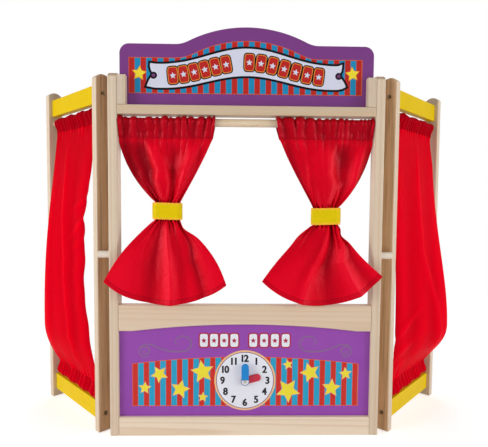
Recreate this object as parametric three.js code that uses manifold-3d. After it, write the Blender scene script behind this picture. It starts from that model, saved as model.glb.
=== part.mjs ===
// Puppet theatre stand: a flat-packed wooden stage front with a lift-out sign, a painted lower panel with
// a toy clock, two tied curtains on a rod, and two hinged curtained wings that prop it up on the floor.
// X runs across the stage, Y from the audience to the back, Z up. The front faces lie at y = 0 of the
// stand group, and the whole group is moved so that the bottom rail's underside is centred on the origin.
import * as THREE from "three";
import { mergeVertices } from "three/addons/utils/BufferGeometryUtils.js";
import Module from "manifold-3d";

const wasm = await Module();
wasm.setup();

// Driving dimensions, in millimetres and degrees.
const board = { thick: 14.5, wide: 25.4, ease: 1.6, dome: 7, railEase: 0.8 };
const fit = { seat: 0.3, bore: 0.3, slot: 0.5, knuckle: 0.3, weld: 1e-4 };
const overrun = 2;
const stage = { width: 438, height: 584.2 };
const topRail = { drop: 50.8 };
const stageRail = { top: 215.5, height: 42.3, crown: 11, flat: 24 };
const bottomRail = { height: 30.8 };
const panel = { thick: 5, setback: 6, tongue: 5 };
const wing = { length: 203.2, splay: 43.5, railHeight: 30, railInset: 15, railThick: 12.4 };
const hinge = { leaf: 11, height: 38, thick: 1.2, barrel: 2.2, pin: 1.1, stand: 2.5, inset: 96, knuckles: 3 };
const stagePole = { radius: 6.35, railGap: 4.35, depth: 8 };
const wingPole = { radius: 4.75, depth: 6 };
const peg = { radius: 5.75, height: 296.5, depth: 9, reach: 18.6, root: 8 };
const cleat = { width: 13.3, depth: 12.4, height: 46 };
const sign = { thick: 6, sideGap: 1.5, height: 98.2, crownLift: 27.4, corner: 15, hollow: 45, crownReach: 115 };
const screw = { head: 3.5, headHeight: 2.6, shank: 1.8, length: 34, sink: 5, hole: 4 };
const clock = { height: 90, pin: 2, pinHead: 2.5, headThick: 1, hub: 7, hubThick: 1.6, layer: 0.4 };
const hand = { width: 12, thick: 3, minute: 29.8, hour: 26.5, minuteStart: 3.1, hourAngle: 75 };
const washer = { radius: 5.5, thick: 1.5, pinProud: 1 };
const cloth = { thick: 3, pocketWall: 1.2, pocketHeight: 29, pocketFit: 0.4, seam: 6 };
const tie = { height: 27, thick: 1.6, width: 47.5, depth: 16, gap: 1.2 };

const colours = {
  wood: "#dcc6a8",
  rod: "#d9bf97",
  purple: "#7a3f84",
  yellow: "#e6c400",
  curtain: "#d2001e",
  band: "#e2c81c",
  blue: "#0082cd",
  red: "#dc2d32",
  hub: "#e8e8ec",
  steel: "#8d8a84",
  brass: "#b8954a",
};

const halfWidth = stage.width / 2;
const innerHalf = halfWidth - board.thick;
const middle = board.wide / 2;
const topRailTop = stage.height - topRail.drop;
const topRailLow = topRailTop - board.thick;
const stagePoleHeight = topRailLow - stagePole.railGap - stagePole.radius;

// Each finish is one material shared by the pieces made of it.
function finish(color, roughness, metalness) {
  return new THREE.MeshStandardMaterial({ color, roughness, metalness });
}
const wood = finish(colours.wood, 0.6, 0);
const dowelWood = finish(colours.rod, 0.6, 0);
const purplePaint = finish(colours.purple, 0.35, 0);
const yellowPaint = finish(colours.yellow, 0.4, 0);
const redCloth = finish(colours.curtain, 0.7, 0);
const bandCloth = finish(colours.band, 0.7, 0);
const bluePlastic = finish(colours.blue, 0.35, 0);
const redPlastic = finish(colours.red, 0.35, 0);
const whitePlastic = finish(colours.hub, 0.35, 0);
const steel = finish(colours.steel, 0.4, 0.9);
const brass = finish(colours.brass, 0.35, 0.9);

// A closed geometry as a solid that can be joined or cut.
function solid(geometry) {
  const bare = geometry.clone();
  bare.deleteAttribute("normal");
  bare.deleteAttribute("uv");
  const merged = mergeVertices(bare, fit.weld);
  return new wasm.Manifold(
    new wasm.Mesh({
      numProp: 3,
      vertProperties: new Float32Array(merged.attributes.position.array),
      triVerts: new Uint32Array(merged.index.array),
    }),
  );
}

function geometryOf(body) {
  const mesh = body.getMesh();
  const geometry = new THREE.BufferGeometry();
  geometry.setAttribute("position", new THREE.BufferAttribute(new Float32Array(mesh.vertProperties), 3));
  geometry.setIndex(new THREE.BufferAttribute(new Uint32Array(mesh.triVerts), 1));
  geometry.computeVertexNormals();
  return geometry;
}

function cut(geometry, tools) {
  return geometryOf(tools.reduce((body, tool) => body.subtract(solid(tool)), solid(geometry)));
}

function join(geometries) {
  return geometryOf(geometries.map(solid).reduce((body, next) => body.add(next)));
}

function add(parent, name, geometry, material) {
  const mesh = new THREE.Mesh(geometry, material);
  mesh.name = name;
  parent.add(mesh);
  return mesh;
}

// A box from its lowest to its highest corner.
function block(x0, x1, y0, y1, z0, z1) {
  const box = new THREE.BoxGeometry(x1 - x0, y1 - y0, z1 - z0);
  return box.translate((x0 + x1) / 2, (y0 + y1) / 2, (z0 + z1) / 2);
}

// A round bar along X from x0 to x1, centred on (y, z).
function barX(radius, x0, x1, y, z, sides = 20) {
  const bar = new THREE.CylinderGeometry(radius, radius, Math.abs(x1 - x0), sides);
  return bar.rotateZ(Math.PI / 2).translate((x0 + x1) / 2, y, z);
}

// A turned piece: its profile, as [radius, height] pairs from the axis round to the axis, spun about Z.
function turned(profile, sides = 20) {
  const points = profile.map(([radius, height]) => new THREE.Vector2(radius, height));
  return new THREE.LatheGeometry(points, sides).rotateX(Math.PI / 2);
}

// An outline in X and Z carried from y0 to y1, with its long edges eased.
function slab(shape, y0, y1, ease, curveSegments = 12) {
  const geometry = new THREE.ExtrudeGeometry(shape, {
    depth: y1 - y0 - 2 * ease,
    steps: 1,
    curveSegments,
    bevelEnabled: ease > 0,
    bevelThickness: ease,
    bevelSize: ease,
    bevelOffset: -ease,
    bevelSegments: 1,
  });
  return geometry.rotateX(Math.PI / 2).translate(0, y1 - ease, 0);
}

// A rail of eased rectangular section along X.
function rail(x0, x1, y0, y1, z0, z1, ease) {
  const section = new THREE.Shape();
  section.moveTo(y0 + ease, z0);
  section.lineTo(y1 - ease, z0);
  section.quadraticCurveTo(y1, z0, y1, z0 + ease);
  section.lineTo(y1, z1 - ease);
  section.quadraticCurveTo(y1, z1, y1 - ease, z1);
  section.lineTo(y0 + ease, z1);
  section.quadraticCurveTo(y0, z1, y0, z1 - ease);
  section.lineTo(y0, z0 + ease);
  section.quadraticCurveTo(y0, z0, y0 + ease, z0);
  const bar = new THREE.ExtrudeGeometry(section, {
    depth: x1 - x0,
    steps: 1,
    curveSegments: 2,
    bevelEnabled: false,
  });
  return bar.rotateX(Math.PI / 2).rotateZ(Math.PI / 2).translate(x0, 0, 0);
}

// An upright board seen edge-on from the front: its wide face looks sideways and its top is a low dome
// across that face. It stands on z = 0 from x0 to x1, with its front edge at y0.
function upright(x0, x1, y0) {
  const domeRadius = board.wide ** 2 / (8 * board.dome) + board.dome / 2;
  const domeHalf = Math.asin(board.wide / 2 / domeRadius);
  const side = new THREE.Shape();
  side.moveTo(0, 0);
  side.lineTo(board.wide, 0);
  side.lineTo(board.wide, stage.height - board.dome);
  const up = Math.PI / 2;
  side.absarc(middle, stage.height - domeRadius, domeRadius, up - domeHalf, up + domeHalf, false);
  side.lineTo(0, stage.height - board.dome);
  const geometry = new THREE.ExtrudeGeometry(side, {
    depth: board.thick - 2 * board.ease,
    steps: 1,
    curveSegments: 5,
    bevelThickness: board.ease,
    bevelSize: board.ease,
    bevelOffset: -board.ease,
    bevelSegments: 2,
  });
  return geometry
    .rotateX(Math.PI / 2)
    .rotateZ(Math.PI / 2)
    .translate(x0 + board.ease, y0, 0);
}

// The lower panel's outline, or the same outline grown all round. Its top follows the stage rail's arch:
// flat at both ends, with one shallow arc between them.
function archedOutline(halfSpan, bottom, endTop, grow) {
  const reach = innerHalf - stageRail.flat;
  const radius = reach ** 2 / (2 * stageRail.crown) + stageRail.crown / 2;
  const spread = Math.asin(reach / radius);
  const up = Math.PI / 2;
  const shape = new THREE.Shape();
  shape.moveTo(-halfSpan - grow, bottom - grow);
  shape.lineTo(halfSpan + grow, bottom - grow);
  shape.lineTo(halfSpan + grow, endTop + grow);
  shape.lineTo(reach, endTop + grow);
  shape.absarc(0, endTop + grow + stageRail.crown - radius, radius, up - spread, up + spread, false);
  shape.lineTo(-halfSpan - grow, endTop + grow);
  return shape;
}

// The stage rail's outline: a straight top over the arched lower edge.
function stageRailOutline() {
  const half = innerHalf - fit.seat;
  const reach = innerHalf - stageRail.flat;
  const low = stageRail.top - stageRail.height;
  const radius = reach ** 2 / (2 * stageRail.crown) + stageRail.crown / 2;
  const spread = Math.asin(reach / radius);
  const up = Math.PI / 2;
  const shape = new THREE.Shape();
  shape.moveTo(half, low);
  shape.lineTo(half, stageRail.top);
  shape.lineTo(-half, stageRail.top);
  shape.lineTo(-half, low);
  shape.lineTo(-reach, low);
  shape.absarc(0, low + stageRail.crown - radius, radius, up + spread, up - spread, true);
  shape.lineTo(reach, low);
  return shape;
}

// The sign's outline: round shoulders, then a hollow curve each side that sweeps up into the crown's arc.
function signOutline() {
  const half = innerHalf - sign.sideGap;
  const bottom = topRailTop + fit.seat;
  const shoulder = topRailTop + sign.height;
  const crown = shoulder + sign.crownLift;
  const arcs = (sign.crownReach ** 2 + sign.crownLift ** 2) / (2 * sign.crownLift);
  const crownRadius = arcs - sign.hollow;
  const lean = Math.asin(sign.crownReach / arcs);
  const down = -Math.PI / 2;
  const up = Math.PI / 2;
  const shape = new THREE.Shape();
  shape.moveTo(-half, bottom);
  shape.lineTo(half, bottom);
  shape.absarc(half - sign.corner, shoulder - sign.corner, sign.corner, 0, up, false);
  shape.absarc(sign.crownReach, shoulder + sign.hollow, sign.hollow, down, down - lean, true);
  shape.absarc(0, crown - crownRadius, crownRadius, up - lean, up + lean, false);
  shape.absarc(-sign.crownReach, shoulder + sign.hollow, sign.hollow, down + lean, down, true);
  shape.absarc(-half + sign.corner, shoulder - sign.corner, sign.corner, up, Math.PI, false);
  return shape;
}

// A sheet of cloth as a closed solid: surface(u, v) gives its middle, thickness(v) its depth along Y.
function clothSolid(surface, thickness, columns, rows) {
  const position = [];
  const index = [];
  const across = columns + 1;
  const side = across * (rows + 1);
  for (const face of [-1, 1]) {
    for (let j = 0; j <= rows; j++) {
      for (let i = 0; i <= columns; i++) {
        const [x, y, z] = surface(i / columns, j / rows);
        position.push(x, y + (face * thickness(i / columns, j / rows)) / 2, z);
      }
    }
  }
  const quad = (a, b, c, d) => index.push(a, b, c, a, c, d);
  for (let j = 0; j < rows; j++) {
    for (let i = 0; i < columns; i++) {
      const a = j * across + i;
      const c = a + across + 1;
      quad(a, a + across, c, a + 1);
      quad(side + a, side + a + 1, side + c, side + a + across);
    }
  }
  for (let i = 0; i < columns; i++) {
    const low = rows * across + i;
    quad(i, i + 1, side + i + 1, side + i);
    quad(low, side + low, side + low + 1, low + 1);
  }
  for (let j = 0; j < rows; j++) {
    const start = j * across;
    const end = start + columns;
    quad(start, side + start, side + start + across, start + across);
    quad(end, end + across, side + end + across, side + end);
  }
  const geometry = new THREE.BufferGeometry();
  geometry.setAttribute("position", new THREE.Float32BufferAttribute(position, 3));
  geometry.setIndex(index);
  return geometry;
}

const mix = (a, b, t) => a + (b - a) * t;
const smooth = (t) => t * t * (3 - 2 * t);
const clamp = (t) => Math.min(1, Math.max(0, t));

const stand = new THREE.Group();
stand.position.y = -board.thick / 2;

// Posts: the frame's two uprights, grooved for the panel and bored for the curtain pole and the peg.
const panelBottom = bottomRail.height - panel.tongue;
const panelTop = stageRail.top - stageRail.height + panel.tongue;
const panelHalf = innerHalf + panel.tongue;
const panelGroove = slab(
  archedOutline(panelHalf, panelBottom, panelTop, fit.bore),
  panel.setback - fit.bore,
  panel.setback + panel.thick + fit.bore,
  0,
);
for (const side of [-1, 1]) {
  const outer = side * halfWidth;
  const inner = side * innerHalf;
  const post = upright(Math.min(outer, inner), Math.max(outer, inner), 0);
  const poleHole = barX(
    stagePole.radius + fit.bore,
    inner - side * overrun,
    inner + side * stagePole.depth,
    middle,
    stagePoleHeight,
  );
  const pegHole = barX(
    peg.radius + fit.bore,
    outer + side * overrun,
    outer - side * (peg.root + fit.bore),
    peg.depth,
    peg.height,
  );
  add(stand, `post_${side < 0 ? "left" : "right"}`, cut(post, [panelGroove, poleHole, pegHole]), wood);
}

// Rails of the stage front. The stage rail and the bottom rail hold the panel in grooves.
const railHalf = innerHalf - fit.seat;
add(
  stand,
  "top_rail",
  rail(-railHalf, railHalf, 0, board.wide, topRailLow, topRailTop, board.railEase),
  wood,
);
add(
  stand,
  "stage_rail",
  cut(slab(stageRailOutline(), 0, board.thick, board.railEase), [panelGroove]),
  wood,
);
const bottomRailBar = rail(-railHalf, railHalf, 0, board.thick, 0, bottomRail.height, board.railEase);
add(stand, "bottom_rail", cut(bottomRailBar, [panelGroove]), wood);

// The lower panel, with the hole for the clock's pin.
const panelBack = panel.setback + panel.thick;
const pinHole = turned([
  [0, -overrun],
  [clock.pin + fit.bore, -overrun],
  [clock.pin + fit.bore, board.wide],
  [0, board.wide],
])
  .rotateX(-Math.PI / 2)
  .translate(0, 0, clock.height);
const panelBoard = slab(
  archedOutline(panelHalf, panelBottom, panelTop, 0),
  panel.setback,
  panelBack,
  0,
);
add(stand, "lower_panel", cut(panelBoard, [pinHole]), purplePaint);

// The sign stands on the top rail in a slot between two pairs of cleats.
const signFront = cleat.depth + fit.slot;
const signBack = signFront + sign.thick;
add(stand, "sign_panel", slab(signOutline(), signFront, signBack, board.railEase), purplePaint);
for (const side of [-1, 1]) {
  const name = side < 0 ? "left" : "right";
  const near = side * (innerHalf - fit.seat);
  const far = near - side * cleat.width;
  const x0 = Math.min(near, far);
  const x1 = Math.max(near, far);
  const foot = topRailTop + fit.seat;
  const top = foot + cleat.height;
  const frontCleat = rail(x0, x1, 0, cleat.depth, foot, top, board.railEase);
  const backCleat = rail(x0, x1, signBack + fit.slot, board.wide, foot, top, board.railEase);
  add(stand, `sign_cleat_front_${name}`, frontCleat, wood);
  add(stand, `sign_cleat_back_${name}`, backCleat, wood);
}

// The toy clock: a pin through the panel carries the hour hand, a white hub and the minute hand on it.
const hourBack = panel.setback - clock.layer;
const hourFront = hourBack - hand.thick;
const hubBack = hourFront - clock.layer;
const hubFront = hubBack - clock.hubThick;
const barBack = hubFront - fit.seat;

// A hand with a round tip, from z = start to its length along +Z, with its back at y = back.
function handBar(start, length, back) {
  const half = hand.width / 2;
  const shape = new THREE.Shape();
  shape.moveTo(-half, start);
  shape.lineTo(half, start);
  shape.absarc(0, length - half, half, 0, Math.PI, false);
  return slab(shape, back - hand.thick, back, board.railEase);
}

// A disc across Y with its centre at the origin.
function disc(radius, y0, y1, sides = 28) {
  return new THREE.CylinderGeometry(radius, radius, y1 - y0, sides).translate(0, (y0 + y1) / 2, 0);
}

const dial = new THREE.Group();
dial.position.z = clock.height;
stand.add(dial);
const handBore = disc(clock.pin + fit.bore, -board.wide, board.wide);
const hourShape = join([handBar(0, hand.hour, hourBack), disc(hand.width / 2, hourFront, hourBack)]);
const hourHand = add(dial, "clock_hour_hand", cut(hourShape, [handBore]), redPlastic);
hourHand.rotation.y = THREE.MathUtils.degToRad(hand.hourAngle);
add(dial, "clock_hub", cut(disc(clock.hub, hubFront, hubBack), [handBore]), whitePlastic);
add(dial, "clock_minute_hand", handBar(hand.minuteStart, hand.minute, barBack), bluePlastic);
const washerFront = panelBack + fit.seat;
const washerBack = washerFront + washer.thick;
const pinEnd = washerBack + washer.pinProud;
const pinSeat = hubFront - fit.seat;
const pinShape = join([
  disc(clock.pinHead, pinSeat - clock.headThick, pinSeat),
  disc(clock.pin, pinSeat - clock.headThick / 2, pinEnd),
]);
add(dial, "clock_pin", pinShape, steel);
add(dial, "clock_pin_washer", cut(disc(washer.radius, washerFront, washerBack), [handBore]), steel);

// The curtain pole lies in blind holes in the posts.
const poleHalf = innerHalf + stagePole.depth - fit.seat;
add(
  stand,
  "curtain_pole",
  barX(stagePole.radius, -poleHalf, poleHalf, middle, stagePoleHeight, 24),
  dowelWood,
);

// A tied front curtain. Above the tie its edges draw in from the heading to the waist; below it the skirt
// fans out from the waist. Distances across are measured outward from the middle of the stage, the waist's
// rise from the stage rail, and the skirt's corners by their reach and their angle from straight down.
const leftCurtain = {
  heading: { inner: 50.5, outer: 203.5 },
  waist: { across: 127, rise: 151 },
  inner: { reach: 151, angle: 39.5, bow: 7, curve: 1.4, lean: 6 },
  outer: { reach: 146, angle: 41, bow: 8, curve: 1.7, lean: 15 },
};
const rightCurtain = {
  heading: { inner: 47, outer: 203.5 },
  waist: { across: 129.2, rise: 144.3 },
  inner: { reach: 147, angle: 45, bow: 6, curve: 1.2, lean: 6 },
  outer: { reach: 128, angle: 42.8, bow: -8, curve: 1.8, lean: 15 },
};
const curtainFolds = { heading: 7, main: 5, headingDepth: 0.7, waistDepth: 3, hemDepth: 7, pinch: 3 };
const headingTop = stagePoleHeight + stagePole.radius + cloth.pocketFit + cloth.pocketWall;
const curtainColumnCount = 24;
const curtainRowCount = { heading: 3, drop: 7, waist: 2, skirt: 8 };
const allCurtainRows = Object.values(curtainRowCount).reduce((sum, rows) => sum + rows);
const pocketThick = 2 * (stagePole.radius + cloth.pocketFit + cloth.pocketWall);

function curtainSurface(shape, u, v) {
  const { heading, waist, inner, outer } = shape;
  const across = (key) => mix(inner[key], outer[key], u);
  const waistHeight = stageRail.top + waist.rise;
  const waistTop = waistHeight + tie.height / 2 + tie.gap;
  const waistBottom = waistHeight - tie.height / 2 - tie.gap;
  const narrow = tie.width - 2 * (tie.thick + tie.gap);
  const waistX = waist.across + (u - 1 / 2) * narrow;
  const headingX = mix(heading.inner, heading.outer, u);
  const pinchedX = mix(heading.inner + curtainFolds.pinch, heading.outer - curtainFolds.pinch, u);
  const stitch = headingTop - cloth.pocketHeight;
  const ripple = Math.sin(2 * Math.PI * curtainFolds.heading * u);
  const fold = Math.sin(2 * Math.PI * curtainFolds.main * u);
  let row = v * allCurtainRows;
  if (row <= curtainRowCount.heading) {
    const t = row / curtainRowCount.heading;
    const y = middle + ripple * curtainFolds.headingDepth;
    return [mix(headingX, pinchedX, t), y, mix(headingTop, stitch, t)];
  }
  row -= curtainRowCount.heading;
  if (row <= curtainRowCount.drop) {
    const t = row / curtainRowCount.drop;
    const x = mix(pinchedX, waistX, t ** across("curve"));
    const depth = mix(curtainFolds.headingDepth, curtainFolds.waistDepth, smooth(t));
    const wave = mix(ripple, fold, smooth(clamp(2 * t)));
    return [x, middle + wave * depth, mix(stitch, waistTop, t)];
  }
  row -= curtainRowCount.drop;
  if (row <= curtainRowCount.waist) {
    const t = row / curtainRowCount.waist;
    return [waistX, middle + fold * curtainFolds.waistDepth, mix(waistTop, waistBottom, t)];
  }
  const t = (row - curtainRowCount.waist) / curtainRowCount.skirt;
  const angle = THREE.MathUtils.degToRad(mix(-inner.angle, outer.angle, u));
  const hemX = waist.across + across("reach") * Math.sin(angle);
  const hemZ = waistHeight - across("reach") * Math.cos(angle);
  const bow = mix(-inner.bow, outer.bow, u) * Math.sin(Math.PI * t);
  const depth = mix(curtainFolds.waistDepth, curtainFolds.hemDepth * (1 - u / 2), t);
  return [
    mix(waistX, hemX, t) + bow,
    mix(middle, -across("lean"), Math.sqrt(t)) + fold * depth,
    mix(waistBottom, hemZ, t),
  ];
}

// The pocket is as deep as its pole needs, and the cloth thins to a plain sheet below the seam.
function pocketDepth(distance, pocket, plain, reach) {
  return mix(pocket, plain, smooth(clamp((distance - reach) / cloth.seam)));
}

for (const side of [-1, 1]) {
  const name = side < 0 ? "left" : "right";
  const shape = side < 0 ? leftCurtain : rightCurtain;
  const curtain = new THREE.Group();
  curtain.scale.x = side;
  stand.add(curtain);
  const deep = (u, v) => {
    const z = curtainSurface(shape, u, v)[2];
    return pocketDepth(headingTop - z, pocketThick, cloth.thick, cloth.pocketHeight - cloth.seam);
  };
  const bore = barX(
    stagePole.radius + cloth.pocketFit,
    0,
    halfWidth,
    middle,
    stagePoleHeight,
  );
  const sheet = clothSolid((u, v) => curtainSurface(shape, u, v), deep, curtainColumnCount, allCurtainRows);
  add(curtain, `front_curtain_${name}`, cut(sheet, [bore]), redCloth);

  // The tie is a flat band closed round the gathered waist.
  const band = new THREE.Group();
  band.position.set(shape.waist.across, middle, stageRail.top + shape.waist.rise);
  curtain.add(band);
  const straight = (tie.width - tie.depth) / 2;
  const oval = (radius) => {
    const outline = new THREE.Shape();
    outline.absarc(straight, 0, radius, -Math.PI / 2, Math.PI / 2, false);
    outline.absarc(-straight, 0, radius, Math.PI / 2, (3 * Math.PI) / 2, false);
    return outline;
  };
  const loop = oval(tie.depth / 2);
  loop.holes.push(oval(tie.depth / 2 - tie.thick));
  const ring = new THREE.ExtrudeGeometry(loop, {
    depth: tie.height,
    curveSegments: 8,
    bevelEnabled: false,
  });
  add(band, `curtain_tie_${name}`, ring.translate(0, 0, -tie.height / 2), bandCloth);
}

// Wings. Each is a group whose origin is its hinge axis: X runs along the wing, Y towards the inside, and
// the left one is the mirror image of the right one. The stile nearer the stage is the front stile.
const stileFront = -hinge.stand - board.wide;
const wingMiddle = -hinge.stand - board.wide / 2;
const farStile = wing.length - board.thick;
const railHeights = {
  bottom: wing.railInset,
  top: stage.height - wing.railInset - wing.railHeight,
};
const wingPoleInset = wingPole.radius + cloth.pocketFit + cloth.pocketWall;
const sideCurtain = { topGap: 6.2, bottomGap: 3, start: 19, folds: 3, foldDepth: 3.5 };
const sideTop = railHeights.top - sideCurtain.topGap;
const sideBottom = railHeights.bottom + wing.railHeight + sideCurtain.bottomGap;
const billow = { peakShare: 0.82, frontShare: 0.25 };
const sideColumnCount = 16;
const sideRowCount = { pocket: 1, seam: 1, free: 20 };
const allSideRows = 2 * (sideRowCount.pocket + sideRowCount.seam) + sideRowCount.free;
const wingPocket = 2 * wingPoleInset;
const poleHeights = {
  bottom: sideBottom + wingPoleInset,
  top: sideTop - wingPoleInset,
};
const screwX = screw.sink + fit.bore;

// A countersunk screw along +X, with its head's face at x = 0.
function woodScrew() {
  const tip = screw.length - screw.shank;
  const profile = [
    [0, 0],
    [screw.head, 0],
    [screw.shank, screw.headHeight],
    [screw.shank, tip],
    [0, screw.length],
  ];
  return turned(profile, 12).rotateY(Math.PI / 2);
}

// The hole for a screw whose head is sunk below a stile's face: a counterbore and a clearance hole.
function screwHole(z, inward) {
  const start = inward > 0 ? 0 : wing.length;
  const step = (distance) => start + inward * distance;
  const wide = barX(screw.hole, step(-overrun), step(screw.sink + screw.headHeight), wingMiddle, z, 12);
  const deep = screw.sink + screw.length + overrun;
  const narrow = barX(screw.shank + fit.bore, step(0), step(deep), wingMiddle, z, 8);
  return [wide, narrow];
}

// The height of the side curtain's rows: one for each pocket and each seam, the rest spread between them.
function sideHeight(v) {
  const row = Math.min(v, 1 - v) * allSideRows;
  const ends = sideRowCount.pocket + sideRowCount.seam;
  const seamDistance = wingPocket + cloth.seam;
  const half = (sideTop - sideBottom) / 2;
  const inPocket = wingPocket * clamp(row / sideRowCount.pocket);
  const inSeam = cloth.seam * clamp((row - sideRowCount.pocket) / sideRowCount.seam);
  const inFree = (half - seamDistance) * clamp((2 * (row - ends)) / sideRowCount.free);
  const distance = inPocket + inSeam + inFree;
  return v < 1 / 2 ? sideTop - distance : sideBottom + distance;
}

// The side curtain: gathered on its two poles, pulled back at its front edge and billowing outwards most
// low down at its back edge. It lies flat on its poles and hangs free between its two pockets.
function sideSurface({ bulge, pull, late }, u, v) {
  const z = sideHeight(v);
  const drop = sideTop - sideBottom - 2 * wingPocket;
  const free = clamp((sideTop - wingPocket - z) / drop);
  const peak = billow.peakShare;
  const rise = free < peak ? (free / peak) ** late : (1 - free) / (1 - peak);
  const swell = bulge * Math.sin((Math.PI / 2) * rise) * mix(billow.frontShare, 1, u);
  const arch = Math.sin(Math.PI * free);
  const front = sideCurtain.start + pull * arch;
  const back = farStile - (sideCurtain.start - board.thick);
  const wave = Math.sin(2 * Math.PI * sideCurtain.folds * u) * sideCurtain.foldDepth * arch;
  return [mix(front, back, u), wingMiddle - swell + wave, z];
}

for (const side of [-1, 1]) {
  const name = side < 0 ? "left" : "right";
  const wingGroup = new THREE.Group();
  wingGroup.position.set(side * halfWidth, board.wide + hinge.stand, 0);
  wingGroup.rotation.z = side * THREE.MathUtils.degToRad(90 - wing.splay);
  wingGroup.scale.x = side;
  stand.add(wingGroup);

  const screwHeights = [railHeights.bottom, railHeights.top].map((z) => z + wing.railHeight / 2);
  const holes = screwHeights.flatMap((z) => [...screwHole(z, 1), ...screwHole(z, -1)]);
  const poleHoles = [poleHeights.bottom, poleHeights.top].map((z) =>
    barX(
      wingPole.radius + fit.bore,
      board.thick - wingPole.depth,
      farStile + wingPole.depth,
      wingMiddle,
      z,
      12,
    ),
  );
  const nearStile = upright(0, board.thick, stileFront);
  const backStile = upright(farStile, wing.length, stileFront);
  add(wingGroup, `wing_front_stile_${name}`, cut(nearStile, [...holes, ...poleHoles]), wood);
  add(wingGroup, `wing_back_stile_${name}`, cut(backStile, [...holes, ...poleHoles]), wood);

  const railFace = wingMiddle - wing.railThick / 2;
  for (const [where, z] of Object.entries(railHeights)) {
    const bar = rail(
      board.thick + fit.seat,
      farStile - fit.seat,
      railFace,
      railFace + wing.railThick,
      z,
      z + wing.railHeight,
      board.railEase,
    );
    add(wingGroup, `wing_${where}_rail_${name}`, cut(bar, holes), yellowPaint);
  }

  const poleEnd = wingPole.depth - fit.seat;
  for (const [where, z] of Object.entries(poleHeights)) {
    const pole = barX(wingPole.radius, board.thick - poleEnd, farStile + poleEnd, wingMiddle, z, 16);
    add(wingGroup, `side_pole_${where}_${name}`, pole, dowelWood);
  }

  screwHeights.forEach((z, i) => {
    const level = i ? "top" : "bottom";
    const near = add(wingGroup, `wing_screw_front_${level}_${name}`, woodScrew(), steel);
    near.position.set(screwX, wingMiddle, z);
    const far = add(wingGroup, `wing_screw_back_${level}_${name}`, woodScrew(), steel);
    far.position.set(wing.length - screwX, wingMiddle, z);
    far.rotation.z = Math.PI;
  });

  // The side curtain, with a bore through each of its two pockets.
  const drape = side < 0 ? { bulge: 27, pull: 46, late: 1.2 } : { bulge: 40, pull: 8, late: 2 };
  const deep = (u, v) => {
    const z = sideHeight(v);
    const distance = Math.min(sideTop - z, z - sideBottom);
    return pocketDepth(distance, wingPocket, cloth.thick, wingPocket);
  };
  const bores = [poleHeights.bottom, poleHeights.top].map((z) =>
    barX(wingPole.radius + cloth.pocketFit, 0, wing.length, wingMiddle, z, 12),
  );
  const sheet = clothSolid((u, v) => sideSurface(drape, u, v), deep, sideColumnCount, allSideRows);
  add(wingGroup, `side_curtain_${name}`, cut(sheet, bores), redCloth);

  // The stop peg is glued into the post, and its end is cut to the wing's angle to meet the stile.
  const outer = side * halfWidth;
  const pegBar = barX(
    peg.radius,
    outer - side * peg.root,
    outer + side * peg.reach,
    peg.depth,
    peg.height,
  );
  wingGroup.updateMatrix();
  const stileFace = block(
    -fit.seat,
    board.thick,
    2 * stileFront,
    board.wide,
    peg.height - board.wide,
    peg.height + board.wide,
  ).applyMatrix4(wingGroup.matrix);
  if (side < 0) {
    stileFace.index.array.reverse();
  }
  add(stand, `stop_peg_${name}`, cut(pegBar, [stileFace]), dowelWood);

  // Butt hinges: the knuckles of the two leaves share one pin on the wing's hinge axis.
  const levels = { lower: hinge.inset, upper: stage.height - hinge.inset };
  for (const [level, z] of Object.entries(levels)) {
    const low = z - hinge.height / 2;
    const step = hinge.height / hinge.knuckles;
    const knuckle = (k) => {
      const from = low + k * step + (k ? fit.knuckle / 2 : 0);
      const to = low + (k + 1) * step - (k < hinge.knuckles - 1 ? fit.knuckle / 2 : 0);
      const tube = new THREE.CylinderGeometry(hinge.barrel, hinge.barrel, to - from, 16);
      return { tube: tube.rotateX(Math.PI / 2).translate(0, 0, (from + to) / 2), from, to };
    };
    const all = [...Array(hinge.knuckles).keys()].map(knuckle);
    const pinBore = new THREE.CylinderGeometry(
      hinge.pin + fit.bore / 2,
      hinge.pin + fit.bore / 2,
      hinge.height + 2 * overrun,
      12,
    );
    pinBore.rotateX(Math.PI / 2).translate(0, 0, z);

    // A leaf is a plate on the wood with every second knuckle rolled at its edge. plateY is the side of the
    // axis on which the wood lies.
    const leaf = (first, plateY) => {
      const own = all.filter((_, k) => k % 2 === first);
      const other = all.filter((_, k) => k % 2 !== first);
      const y0 = plateY < 0 ? -hinge.barrel : hinge.barrel - hinge.thick;
      const plate = block(0, hinge.leaf, y0, y0 + hinge.thick, low, low + hinge.height);
      const room = hinge.barrel + fit.knuckle;
      const notches = other.map((k) =>
        block(
          -overrun,
          room,
          -room,
          room,
          k.from - (k.from > low ? fit.knuckle : overrun),
          k.to + (k.to < low + hinge.height ? fit.knuckle : overrun),
        ),
      );
      return cut(join([cut(plate, notches), ...own.map((k) => k.tube)]), [pinBore]);
    };
    const onPost = new THREE.Group();
    onPost.position.copy(wingGroup.position);
    onPost.scale.x = -side;
    stand.add(onPost);
    add(onPost, `hinge_post_leaf_${level}_${name}`, leaf(0, -1), brass);
    add(wingGroup, `hinge_wing_leaf_${level}_${name}`, leaf(1, -1), brass);
    const pin = new THREE.CylinderGeometry(hinge.pin, hinge.pin, hinge.height, 12);
    add(onPost, `hinge_pin_${level}_${name}`, pin.rotateX(Math.PI / 2).translate(0, 0, z), steel);
  }
}

export default stand;
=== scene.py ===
import math

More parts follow.
